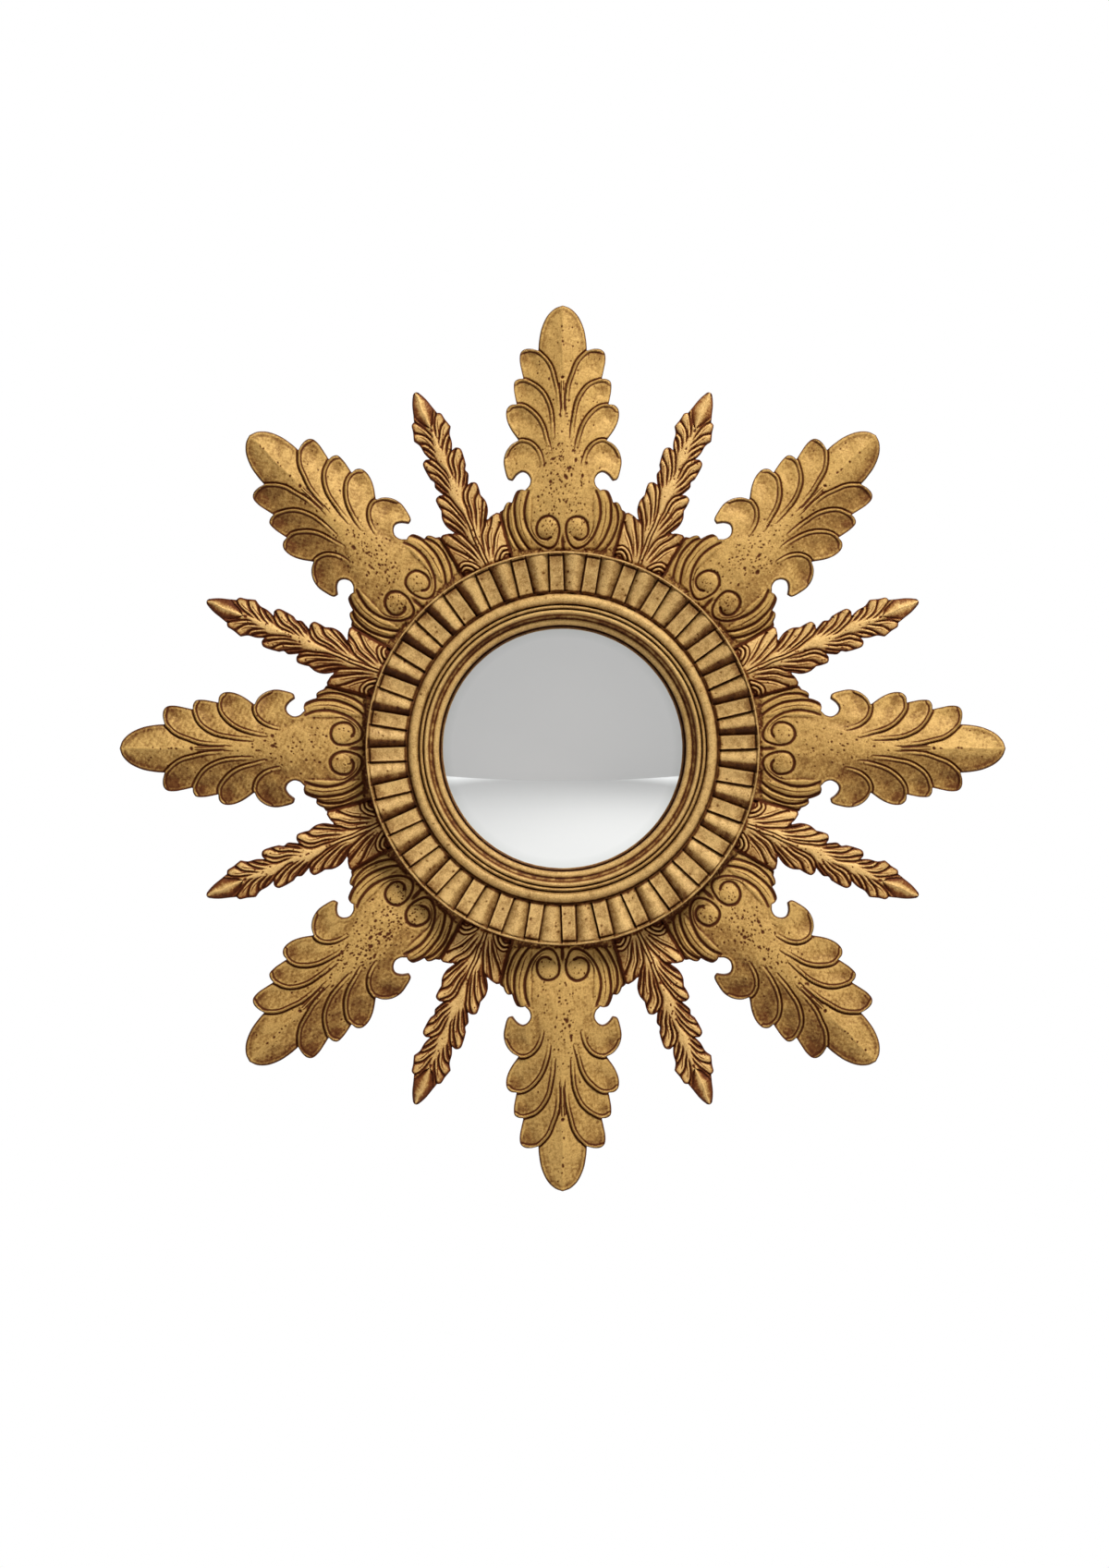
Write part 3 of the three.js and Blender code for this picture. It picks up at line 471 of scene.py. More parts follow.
def carve_leaf(blank):
    """Heights over the leaf's back, and how much of the glaze each place keeps."""
    spots = hand_drawn(blank, 0.3)
    across, out = spots.T
    ridge = np.interp(out, *np.array(LEAF_RIDGE).T)
    rounding = np.interp(out, [150, 200, 250, 300, 350], [16, 14, 7, 2.0, 1.2])
    slope = np.interp(out, [155, 190, 215, 250, 350], [0.13, 0.17, 0.24, 0.27, 0.30])
    height = ridge - slope * (np.hypot(across, rounding) - rounding)
    glaze_and_shade = np.zeros(len(spots))
    above = out > 203

    # each lobe laps over the one above it, with a rolled edge
    for rim in LEAF_RIMS:
        away, side, share, _ = beside(spots, smooth_line(rim))
        fade = 1 - rise(share, 0.62, 1.0)
        upper = np.where(side < 0, 1.0, 0.0)
        height += (1.15 * fade + 0.25) * bell(away, 0.85) * (share < 0.999)
        line = bell(away - 1.4, 0.56) * upper
        height -= (0.95 * fade + 0.35) * line
        height -= 1.5 * fade * upper * np.exp(-away / 6.5)
        inner = bell(away - 1.7, 0.6) * (1 - upper)
        height -= 0.45 * fade * inner
        glaze_and_shade += (0.95 * fade + 0.45) * line * (share < 0.999) + 0.42 * (fade + 0.2) * inner
        # a soft dark band inside each lobe below its rim: glaze, together with painted shade under the rolled
        # edge
        glaze_and_shade += 0.12 * (0.3 + 0.7 * fade) * (1 - upper) * bell(away - 4, 3.4)
        glaze_and_shade -= 0.25 * bell(away, 0.7) * fade
    for x, y, radius, depth in LEAF_DISHES:
        place = np.hypot(across - x, out - y)
        height -= depth * bell(place, radius)

    glaze_and_shade += 0.18 * bell(blank.depth - 3, 2.2) * rise(out, 298, 312)

    # veins below the tip, and the ridge of the tip
    for vein in LEAF_VEINS:
        away, _, share, _ = beside(spots, smooth_line(vein))
        keep = rise(share, 0, 0.1) * (1 - rise(share, 0.7, 1))
        height -= 0.7 * bell(away, 0.42) * keep
        glaze_and_shade += 0.75 * bell(away, 0.5) * keep
    height += 0.5 * bell(across, 1.1) * rise(out, 296, 306) * (1 - rise(out, 336, 349))
    place = np.hypot(across, out - 293.2)
    height -= 1.6 * bell(place, 1.1)
    glaze_and_shade += 1.2 * bell(place, 1.3)

    # the lobes' outer edges are lifted a little
    lip = bell(blank.depth - 1.5, 1.3) * above
    height += 0.45 * lip
    height -= 0.8 * bell(across - 20, 4.5) * rise(out, 206, 216) * (1 - rise(out, 232, 246))

    # scrolls at the foot
    away, side, share, _ = beside(spots, smooth_line(LEAF_SCROLL))
    outside = (side > 0) & (share < 0.42)
    start = rise(share, 0, 0.05)
    line_gap = away.copy()
    height -= 1.5 * bell(away, 0.85) * start
    glaze_and_shade += 1.15 * bell(away, 0.95) * start
    beyond = np.where(outside & (out < 204), 1 - np.exp(-away / 1.2), 0)
    height -= 1.3 * beyond
    x, y, radius = LEAF_DISC
    disc = np.hypot(across - x, out - y) / radius
    height += 1.3 * np.clip(1 - disc ** 2, 0, 1) + 0.3 * (disc < 1)
    away, _, share, _ = beside(spots, smooth_line(LEAF_SCROLL_INNER))
    height -= 0.6 * bell(away, 0.5) * np.sin(math.pi * share)
    glaze_and_shade += 0.75 * bell(away, 0.55) * np.sin(math.pi * np.clip(share, 0.02, 0.98))

    # small fronds beside the neck
    for line in LEAF_FRONDS:
        away, side, share, _ = beside(spots, smooth_line(line))
        near = rise(out, 156, 159)
        height -= 1.8 * bell(away, 0.85) * near
        glaze_and_shade += 1.1 * bell(away, 0.9) * near
        height -= 0.9 * np.where((side > 0) & (out < 206), 1 - np.exp(-away / 1.0), 0)
        line_gap = np.minimum(line_gap, away)
    for line in LEAF_FINE:
        away, _, share, _ = beside(spots, smooth_line(line))
        height -= 0.5 * bell(away, 0.42) * np.sin(math.pi * share)
        glaze_and_shade += 0.62 * bell(away, 0.5) * np.clip(np.sin(math.pi * share), 0, 1) ** 0.5
    ribs = (out < 206) * rise(across, 24, 27)
    height += 1.6 * ribs * (1 - bell(line_gap, 2.2))

    # rough ground next to the ring and along the root's sides
    ground = 1 - rise(out, 156.3, 158.6 + 1.2 * mottling(spots, 3, 5))
    rubble = 0.5 * mottling(spots, 2.1, 6) + 0.5 * mottling(spots @ np.array([[0.8, 0.6], [-0.6, 0.8]]), 1.4, 7)
    height -= ground * (0.7 + 0.9 * rubble)
    glaze_and_shade += ground * (0.16 + 0.62 * rubble)
    side_gap = np.where(out < LEAF_CORNER + 3, (out * math.tan(LEAF_SPREAD) - across)
                        * math.cos(LEAF_SPREAD), 99)
    height -= 1.4 * bell(side_gap, 1.3)
    glaze_and_shade += 0.65 * bell(side_gap, 1.3)
    middle = bell(across, 1.7) * (1 - rise(out, 163, 171))
    height -= 1.5 * middle
    glaze_and_shade += 0.8 * middle
    return height, glaze_and_shade


def weathered(blank, height, glaze_and_shade, seed, uneven, pits, tone_and_shade, angle):
    """Adds what the mould and the hand leave: waves, pores, rounded edges and glaze in hollows. It also paints
    shade: the half of each ray that faces down as the mirror hangs is darker, and each ray is darker as a whole
    by its own number, which grows towards the lower left."""
    chance = np.random.RandomState(seed)
    spots, out = blank.flat, blank.flat[:, 1]
    height = height + uneven * 0.20 * unevenness(spots, 13, seed)
    height += uneven * 0.07 * unevenness(spots, 4, seed + 1)
    height += 0.09 * (mottling(spots, 1.6, seed + 2) - 0.5) * uneven ** 2
    for across, far, radius in pits:
        close = np.abs(spots[:, 0] - across) + np.abs(out - far) < 4 * radius
        shape = np.hypot(spots[close, 0] - across, (out[close] - far) * chance.uniform(0.6, 1))
        hole = bell(shape, radius)
        height[close] -= min(0.9, 0.75 * radius) * hole
        glaze_and_shade[close] += 1.15 * hole
    radius = 1.15
    inward = np.clip(radius - blank.depth, 0, radius)
    height -= np.where(out > RING_WALL, radius - np.sqrt(radius ** 2 - inward ** 2), 0) * 0.95
    fine, wide = blank.hollows(height, 1.7), blank.hollows(height, 6)
    # each ray's own toning number scales its glaze and darkens the whole ray, partly as painted shade
    glaze_and_shade = tone_and_shade * (glaze_and_shade + 1.5 * np.clip(fine, -0.12, 0.6) + 0.14 * np.clip(wide, -0.55, 1.6))
    glaze_and_shade += (1.1 * tone_and_shade - 0.5) * bell(blank.depth, 0.75 + 0.4 * tone_and_shade) + 0.18 * (tone_and_shade - 1)
    glaze_and_shade += 0.09 * (mottling(spots, 9, seed + 3) - 0.5)
    glaze_and_shade += 0.20 * (mottling(spots, 1.3, seed + 4) - 0.5)
    # painted shade: the half of each ray that faces down as the mirror hangs is made darker
    below = np.clip(math.sin(angle) * spots[:, 0] / 9, 0, 1)
    glaze_and_shade += 0.30 * below * (0.5 + 0.6 * mottling(spots, 26, seed + 5)) * (out > RING_WALL)
    return height, np.clip(glaze_and_shade, 0, 1.3)


def leaf_pits(chance, many):
    """Air holes of the casting, as (across, out, radius), most of them on the neck. Each casting
    has its own share of them."""
    found = []
    for spread, low, high, smallest, largest, count in (
            (9.5, 184, 242, 0.22, 0.62, 210), (8, 200, 230, 0.7, 1.2, 9), (5, 236, 292, 0.3, 0.7, 26),
            (22, 205, 345, 0.2, 0.5, 80), (24, 160, 200, 0.2, 0.5, 40)):
        for _ in range(round(count * many)):
            found.append((chance.normal(0, spread), chance.uniform(low, high),
                          chance.uniform(smallest, largest)))
    for _ in range(5):
        found.append((chance.normal(0, 0.5), chance.uniform(297, 338), chance.uniform(0.45, 0.85)))
    for _ in range(round(44 * many)):
        found.append((chance.choice([-12, 12]) + chance.normal(0, 3.5), chance.uniform(167, 181),
                      chance.uniform(0.22, 0.55)))
    return found


def ray_place(angle):
    """From a ray's own across, out and height, in mm, to the row frame at an angle clockwise."""
    turn = Matrix.Rotation(angle, 4, "Y")
    stand = Matrix(((MM, 0, 0, 0), (0, 0, -MM, -RAY_BACK * MM), (0, MM, 0, 0), (0, 0, 0, 1)))
    return turn @ stand


def cast(name, blank, height, glaze_and_shade, angle, finish, node, lowest):
    """One casting from the mould, put in its place round the ring."""
    height = np.maximum(height, lowest)
    height = np.where(blank.flat[:, 1] < RING_WALL - 0.3, ROOT_THICKNESS, height)
    wall = np.select([blank.layer == 1, blank.layer == 2], [0.55 * height, 0.0 * height + 0.9], 0)
    co = np.column_stack([blank.flat, np.where(blank.top, height, wall)])
    pull = np.select([blank.layer == 2, blank.layer == 3], [0.10, 0.55], 0.0)
    co[:, 0] -= np.sign(co[:, 0]) * pull * (np.abs(co[:, 0]) > 1)
    mesh = blank.mesh.copy()
    mesh.vertices.foreach_set("co", co.ravel())
    mesh.transform(ray_place(angle))
    mesh.update()
    kept = np.where(blank.top, glaze_and_shade, np.where(blank.layer == 1, 0.6, 0.45))
    mesh.attributes.new("glaze_and_shade", "FLOAT", "POINT").data.foreach_set("value", kept.astype(np.float32))
    mesh.name = name
    return placed(name, mesh, finish, 75, "mirror", [node])


def gilding(name, bright, warm, dark, deepest, shine=0.08):
    """Bronze gilding under a brown glaze: an attribute holds how dark each place is, from the glaze kept in the
    hollows and from painted shade.
    """
    finish, tree, shader = new_finish(name)
    place = add(tree, "ShaderNodeTexCoord").outputs["Object"]
    kept = add(tree, "ShaderNodeAttribute", attribute_name="glaze_and_shade").outputs["Fac"]
    fine = add(tree, "ShaderNodeTexNoise", {
        "Vector": place, "Scale": 800, "Detail": 4, "Roughness": 0.75}).outputs["Fac"]
    rub = add(tree, "ShaderNodeTexNoise", {
        "Vector": place, "Scale": 150, "Detail": 5, "Roughness": 0.65}).outputs["Fac"]
    cloud = add(tree, "ShaderNodeTexNoise", {
        "Vector": place, "Scale": 15, "Detail": 3, "Roughness": 0.55}).outputs["Fac"]
    amount = sum_of(tree, (kept, 0.84, -0.10), (fine, 1.0, 0.5), (rub, 0.24, 0.5),
                    (cloud, 0.32, 0.5))
    colour = ramp(tree, amount, [
        (0.0, linear(*bright)), (0.28, linear(*warm)), (0.6, linear(*dark)),
        (0.95, linear(*deepest))])
    tree.links.new(colour, shader.inputs["Base Color"])
    tree.links.new(between(tree, amount, shine, 0.0, 0.1, 0.7), shader.inputs["Metallic"])
    rough = sum_of(tree, (amount, 0.2, -2.35), (rub, 0.25, 0.5))
    tree.links.new(rough, shader.inputs["Roughness"])
    shader.inputs["Specular IOR Level"].default_value = 0.12
    grain = sum_of(tree, (fine, 0.7, 0.5), (rub, 0.5, 0.5))
    relief_of(tree, shader, grain, 0.55, 0.0007)
    return finish


leaf_gilt = gilding("gilded_leaf", (201, 162, 94), (156, 118, 62), (104, 64, 28), (76, 36, 10))
leaf_blank = Blank(LEAF_EDGE, LEAF_CORNER, LEAF_SPREAD, LEAF_CELL, 350)
leaf_height, leaf_glaze_and_shade = carve_leaf(leaf_blank)
for i in range(8):
    around = math.radians(45 * i)
    pits = leaf_pits(np.random.RandomState(11 + i), LEAF_PITTED[i])
    carved, kept = weathered(leaf_blank, leaf_height, leaf_glaze_and_shade.copy(), 11 + 10 * i, 1, pits,
                             RAY_TONE_AND_SHADE[i], around)
    cast(f"acanthus_leaf_{i + 1}", leaf_blank, carved, kept, around, leaf_gilt,
         f"leaf_ray_{i + 1}", 3.0)

# ---- frond rays ----
# Between the leaves stand eight slim fronds of the same composition and gilding. Each is a bud
# over three tiers of narrow blades, on a broad root of longer blades.

FROND_SPREAD = math.radians(7.615)
FROND_CORNER = 191.0
FROND_CELL = 0.46
FROND_EDGE = [
    [(0, 305), (3, 302.4), (6, 296), (8.2, 288.5), (9.8, 283)],
    [(9.8, 283), (12.6, 281), (13.6, 276), (15.7, 269)],
    [(15.7, 269), (12.8, 264), (11.8, 257), (9.4, 251)],
    [(9.4, 251), (13, 251.8), (16.2, 249.2), (16.2, 243), (15.3, 236.5)],
    [(15.3, 236.5), (13.3, 232.8), (14.3, 229), (12.6, 225), (10.4, 221)],
    [(10.4, 221), (14, 221.6), (17.4, 219.6), (17.6, 215), (16.8, 210)],
    [(16.8, 210), (18.7, 203.5), (17.6, 196.5), (13.2, 189.2)],
    [(13.2, 189.2), (18, 191.2), (23, 192.2)],
]
FROND_RIDGE = [(128, 9), (155, 10.2), (190, 11.6), (215, 12), (250, 11.4), (285, 11), (300, 8.4),
               (306, 6.4)]
FROND_GROOVES = [             # lines between the blades, from the midrib out to the edge
    [(0.3, 272), (2.8, 274.8), (6, 281), (8.6, 288.8)],
    [(0.9, 260), (2.4, 268), (5.4, 276.4), (9.9, 283.2)],
    [(1.2, 254.5), (3.4, 262.6), (7.6, 270), (14.4, 275)],
    [(2.0, 250), (4.6, 256.8), (8.6, 262.6), (15.5, 266.4)],
    [(3.2, 246.8), (6, 252), (8.8, 257), (12, 261)],
    [(1.2, 226), (2.3, 237), (4.8, 246), (9.5, 251.4)],
    [(1.7, 221.5), (3.9, 232.6), (7.4, 243.2), (13.2, 250.8)],
    [(2.4, 218), (5.8, 227.6), (10, 237.4), (16.5, 243.4)],
    [(4.2, 216.4), (7.6, 222.4), (11, 229.2), (15.5, 236.6)],
    [(6.8, 216), (9.4, 220.6), (11.6, 225), (14.2, 229.6)],
    [(1.3, 190), (2.5, 203), (5.2, 214), (10.4, 221.3)],
    [(1.9, 185.5), (4.2, 200), (8, 212.6), (14.2, 220.4)],
    [(2.7, 182), (6.4, 195), (11, 207), (17.6, 214)],
    [(4.0, 179), (8.2, 188.6), (13, 198.4), (18, 207)],
    [(6.8, 180.6), (11, 188.2), (14.6, 194.6), (18.3, 199)],
    [(1.9, 160), (3.4, 170.6), (7, 181.4), (13.4, 189.8)],
    [(3.2, 157.6), (6.4, 168), (11.4, 179.4), (18.6, 190.2)],
    [(5.2, 157), (9.8, 166), (15.6, 175), (23.6, 184)],
]
FROND_TIPS = [                # across, out, radius, lift of the curled ends
    (14, 271, 4.2, 1.5), (12.4, 279, 3.4, 0.9), (14.4, 248.6, 4.4, 1.7), (14.6, 239, 4, 0.8),
    (12.8, 228, 3.6, 0.7), (15.6, 218, 4.6, 1.9), (17, 206, 4.6, 0.9), (20, 189.5, 5, 1.0),
]
FROND_CURLS = [
    [(8.6, 157.2), (11.6, 161.4), (16, 163.8), (20.4, 162.8)],
    [(12.2, 157), (14.6, 159.6), (17.6, 160.4), (20.6, 159.2)],
]


def carve_frond(blank):
    """Heights over the frond's back, and how much of the glaze each place keeps."""
    spots = hand_drawn(blank, 0.6)
    across, out = spots.T
    ridge = np.interp(out, *np.array(FROND_RIDGE).T)
    height = ridge - 0.28 * (np.hypot(across, 4.5) - 4.5) - 0.7
    glaze_and_shade = np.full(len(spots), 0.04)

    # each blade is rounded, and laps over the one above it
    gap = np.full(len(spots), 9.0)
    for groove in FROND_GROOVES:
        away, side, share, _ = beside(spots, smooth_line(groove))
        fade = rise(share, 0.02, 0.42) * (share < 0.9995)
        above = side > 0
        gap = np.minimum(gap, away + 2.8 * (1 - fade))
        height -= 1.2 * fade * above * np.exp(-away / 1.6)
        height += 0.35 * fade * ~above * bell(away - 1.1, 0.8)
        height -= 0.4 * fade * ~above * bell(away - 2.3, 0.45) * (1 - rise(share, 0.6, 0.9))
        # the groove keeps glaze, and the band on its upper side, under the lapping blade, is painted shade
        glaze_and_shade += 0.9 * fade * bell(away, 0.52) + 0.36 * fade * above * bell(away - 0.9, 1.0)
        glaze_and_shade += 0.45 * fade * ~above * bell(away - 2.3, 0.42) * (1 - rise(share, 0.6, 0.9))
    rounded = np.sqrt(np.clip(gap / 2.6, 0, 1))
    height += 2.0 * rounded - 0.8
    for x, y, radius, lift in FROND_TIPS:
        place = np.hypot(across - x, out - y)
        height += lift * bell(place, radius)
    glaze_and_shade += 0.34 * bell(blank.depth, 2.0) * (out < 284) + 0.06

    # the bud
    bud_half = np.interp(out, [272.4, 276, 280, 284, 288.5, 296, 302.4, 305],
                         [0.2, 3.2, 5.5, 7.4, 8.7, 6.3, 3.2, 0.1])
    bud = (out > 272.4) & (across < bud_half - 0.35 * (out < 288.5))
    share = np.clip(across / np.maximum(bud_half, 0.3), 0, 1)
    high = np.interp(out, [270, 276, 286, 296, 305], [10.2, 11.3, 11.6, 10.2, 6.8])
    height = np.where(bud, high - 3.4 * share ** 1.4 + 0.5 * bell(across, 0.8), height)
    # the bud's crest is painted lighter as a highlight, and its sides darker, partly glaze and partly painted
    # shade
    glaze_and_shade = np.where(bud, 0.10 + 0.42 * rise(share, 0.12, 0.75) - 0.2 * bell(share, 0.2), glaze_and_shade)
    hole = bell(np.hypot(across, (out - 271.4) * 0.7), 1.0)
    height -= 1.4 * hole
    glaze_and_shade += 1.3 * hole

    # the midrib is a narrow strap between two lines, and fades out above
    strap = rise(out, 157, 158) * (1 - rise(out, 194, 201))
    height += 0.5 * bell(across, 0.8) * strap
    height -= 1.2 * bell(across - 1.4, 0.45) * strap
    glaze_and_shade += 1.15 * bell(across - 1.4, 0.58) * strap
    glaze_and_shade -= 0.35 * bell(across, 1.9) * rise(out, 201, 206) * (1 - rise(out, 262, 268))

    # curls at the foot, and dark ground beside them
    zone = rise(across, 7, 9) * (1 - rise(out, 164.5, 168))
    ground = zone * (1 - rise(out, 158 + 0.35 * across, 161 + 0.35 * across))
    for line in FROND_CURLS:
        away = beside(spots, smooth_line(line))[0]
        height += 1.2 * bell(away, 1.1)
        height -= 1.1 * bell(away - 1.8, 0.6)
        glaze_and_shade += 0.9 * bell(away - 1.8, 0.7) - 0.6 * bell(away, 1.0)
    glaze_and_shade += 0.2 * ground
    side_gap = np.where(out < FROND_CORNER + 1, (out * math.tan(FROND_SPREAD) - across)
                        * math.cos(FROND_SPREAD), 99)
    rough = bell(side_gap, 0.8 + 1.5 * mottling(spots, 2.5, 77))
    height -= 1.2 * rough
    glaze_and_shade += 0.6 * rough
    ground = 1 - rise(out, 156.2, 157.6 + 1.4 * mottling(spots, 2.2, 78))
    height -= ground * (0.6 + 0.8 * mottling(spots, 1.9, 79))
    glaze_and_shade += ground * (0.15 + 0.6 * mottling(spots, 1.9, 79))
    return height, glaze_and_shade


def frond_pits(chance):
    found = []
    for _ in range(60):
        found.append((chance.uniform(-15, 15), chance.uniform(160, 268), chance.uniform(0.22, 0.5)))
    for _ in range(9):
        found.append((chance.normal(0, 1.0), chance.uniform(160, 262), chance.uniform(0.45, 0.75)))
    return found


frond_gilt = gilding("gilded_frond", (224, 184, 118), (180, 138, 80), (118, 66, 27), (80, 36, 11))
frond_blank = Blank(FROND_EDGE, FROND_CORNER, FROND_SPREAD, FROND_CELL, 305)
frond_height, frond_glaze_and_shade = carve_frond(frond_blank)
for i in range(8):
    around = math.radians(22.5 + 45 * i)
    pits = frond_pits(np.random.RandomState(411 + i))
    carved, kept = weathered(frond_blank, frond_height, frond_glaze_and_shade.copy(), 411 + 10 * i, 0.7,
                             pits, RAY_TONE_AND_SHADE[i], around)
    cast(f"slim_frond_{i + 1}", frond_blank, carved, kept, around, frond_gilt,
         f"frond_ray_{i + 1}", 3.5)

# ---- ring moulding ----
# A turned and carved ring, cast in one with its fluted frieze: flat tongues with a cut line round
# them stand between low reeds. A plain rounded band closes it inside and a thin lip outside.

RING_BORE = 103.0
BAND = (113.7, 121.4)
FRIEZE = (123.0, 152.6)
RING_OUTER = 155.0
FRIEZE_HEIGHTS = (30.5, 36.5)
FLUTES = 32
FLUTE_START = math.radians(-2.0)
TONGUE_HALF = 5.65
RING_STEPS = 32               # steps round the ring for one tongue and one reed


def ring_front(radius):
    """Height of the ring's turned face."""
    points = [(113.7, 24), (113.75, 32.2), (114.3, 33.6), (115.6, 34.9), (117.5, 35.4),
              (119.4, 34.9), (120.6, 33.6), (121.2, 31.8), (121.6, 30.4), (122.3, 29.9),
              (123.0, 30.4)]
    for share in np.linspace(0.03, 1, 40):
        points.append((FRIEZE[0] + share * (FRIEZE[1] - FRIEZE[0]),
                       FRIEZE_HEIGHTS[0] + share * (FRIEZE_HEIGHTS[1] - FRIEZE_HEIGHTS[0])))
    points += [(152.75, 38.2), (153.1, 39.0), (153.8, 39.4), (154.4, 39.1), (154.85, 38.3),
               (155, 37.2), (155, 30), (155, 19.6)]
    return points if radius is None else np.interp(radius, *np.array(points[1:-2]).T)


ring_profile = ring_front(None)
ring_profile += [(127.5, 19.6), (127.5, 12.3), (RING_BORE, 12.3), (RING_BORE, 24)]
ring = spun([(r * MM, h * MM) for r, h in ring_profile], FLUTES * RING_STEPS)
co = np.array([vert.co for vert in ring.verts]) / MM
radius = np.hypot(co[:, 0], co[:, 2])
front = (-co[:, 1] > 23.5) & (radius > 113.6) & (radius < 154.9)
turn = np.arctan2(co[:, 0], co[:, 2]) - FLUTE_START
pitch = 2 * math.pi / FLUTES
module = np.round(turn / pitch)
step = (turn / pitch - module) * RING_STEPS          # -16 to 16, 0 on the tongue's middle line
half_pitch = radius * math.sin(pitch / 2)
# columns gather at the tongue's cut line, at the same distance from its middle all the way out
steps_at = [0, 2.5, 5, 6.5, 7.5, 8.5, 9.5, 16]
across = np.zeros(len(co))
for k in range(len(co)):
    places = [0, 2.3, 4.2, TONGUE_HALF - 0.75, TONGUE_HALF - 0.05, TONGUE_HALF + 0.5,
              TONGUE_HALF + 1.2, half_pitch[k]]
    across[k] = math.copysign(np.interp(abs(step[k]), steps_at, places), step[k])
angle = module * pitch + np.arcsin(np.clip(across / radius, -1, 1)) + FLUTE_START
far = np.abs(across)
reed_half = np.maximum(half_pitch - TONGUE_HALF - 0.3, 1)
reed = np.clip((half_pitch - far) / reed_half, 0, 1)
in_frieze = (radius > FRIEZE[0] + 0.3) & (radius < FRIEZE[1] + 0.5) & front
height = -co[:, 1]
share = np.clip((radius - FRIEZE[0]) / (FRIEZE[1] - FRIEZE[0]), 0, 1)
tongue = (1 - rise(far, TONGUE_HALF - 0.55, TONGUE_HALF + 0.05))
ends = rise(radius, FRIEZE[0] + 0.3, FRIEZE[0] + 1.2) * (1 - rise(radius, 150.9, 151.5))
end_line = bell(radius - 151.7, 0.55)
dish = -0.55 * (1 - (far / TONGUE_HALF) ** 2) * (far < TONGUE_HALF)
on_tongue = tongue * (1.7 * ends + dish)
on_reed = (far > TONGUE_HALF) * (5.2 * (1 - reed ** 2) ** 0.95 - 2.3) * (1 - rise(radius, 151.6, 153.0))
cut = bell(far - TONGUE_HALF - 0.15, 0.42)
height = np.where(in_frieze, height + on_tongue + on_reed - 0.7 * cut
                  - 0.8 * end_line * (far < TONGUE_HALF + 0.4), height)
waves = 0.10 * unevenness(np.column_stack([co[:, 0], co[:, 2]]), 14, 3)
waves += 0.05 * unevenness(np.column_stack([co[:, 0], co[:, 2]]), 5, 4)
height = np.where(front, height + waves, height)
place = np.where(front, angle, turn + FLUTE_START)
for vert, r, a, h in zip(ring.verts, radius, place, height):
    vert.co = (r * math.sin(a) * MM, -h * MM, r * math.cos(a) * MM)

glaze_and_shade = np.zeros(len(co))
glaze_and_shade += in_frieze * (1.05 * cut + 1.0 * end_line * (far < TONGUE_HALF + 0.4))
glaze_and_shade += 1.1 * bell(radius - 122.2, 0.75)
glaze_and_shade += 0.85 * bell(radius - FRIEZE[0] - 0.9, 0.8) + 0.7 * bell(radius - 155.0, 0.5)
# the half of each reed that faces down as the mirror hangs is painted darker, as painted shade of light from
# above, strongest at the upper left and at the right; the valleys beside the tongues keep more glaze
lower = np.clip(-np.sign(across) * np.sin(angle), 0, 1)
shade_weight = 0.42 + 0.62 * bell(np.sin((angle + 0.85) / 2), 0.36) + 0.35 * bell(np.sin((angle - 1.5) / 2), 0.22)
run = rise(reed, 0.08, 0.45) * (1 - 0.55 * rise(reed, 0.8, 1.0)) * lower ** 0.7 * shade_weight
run *= 0.75 + 0.5 * mottling(np.column_stack([co[:, 0], co[:, 2]]), 4, 9)
glaze_and_shade += in_frieze * (far > TONGUE_HALF) * (0.32 * reed ** 2.2 + run)
glaze_and_shade += in_frieze * (far < TONGUE_HALF) * (0.10 + 0.3 * rise(radius, 143, 151))
glaze_and_shade -= in_frieze * 0.25 * bell(far - TONGUE_HALF + 1.1, 0.5)
glaze_and_shade += 0.5 * bell(radius - 113.7, 0.8) + 0.75 * (radius > 154.9) * (height < 38)
glaze_and_shade += in_frieze * 0.25 * bell(radius - 152.4, 1.0) * (far > TONGUE_HALF)
flat_spots = np.column_stack([co[:, 0], co[:, 2]])
glaze_and_shade += 0.22 * (mottling(flat_spots, 5, 21) - 0.5) + 0.26 * (mottling(flat_spots, 1.8, 22) - 0.5)
chance = np.random.RandomState(8)
x, z = radius * np.sin(place), radius * np.cos(place)
for _ in range(150):
    a, r, size = chance.uniform(0, 2 * math.pi), chance.uniform(115, 152), chance.uniform(0.35, 0.9)
    shape = np.hypot(x - r * math.sin(a), z - r * math.cos(a))
    glaze_and_shade += 0.9 * bell(shape, size) * front
glaze_and_shade = np.where(front | (radius > 154.5), np.clip(glaze_and_shade, 0, 1.3), 0.85)
glaze_and_shade = np.where((radius > 154.9) & (height < 36), 0.45, glaze_and_shade)
for vert in ring.verts:
    vert.co.y = min(vert.co.y, -12.3 * MM)
layer = ring.verts.layers.float.new("glaze_and_shade")
for vert, value in zip(ring.verts, glaze_and_shade):
    vert[layer] = value
bmesh.ops.recalc_face_normals(ring, faces=ring.faces)
ring_gilt = gilding("gilded_ring", (206, 169, 107), (158, 122, 70), (102, 62, 26), (62, 32, 11))
finished("fluted_ring", ring, ring_gilt, 60, replaces=["ring_moulding"])

# ---- reeded slip ----
# The slip lies inside the ring and holds the glass. It is a ring with a thin and a wide bead, a
# dark hollow and a low roll next to the glass, gilded like the rest.

SLIP_STEPS = 384
SLIP_SIGHT = 97.3


def arch(middle, half, foot, top, count=9):
    """Points of a rounded bead between two hollows."""
    return [(middle + half * math.cos(t), foot + (top - foot) * math.sin(t))
            for t in np.linspace(math.pi, 0, count)]


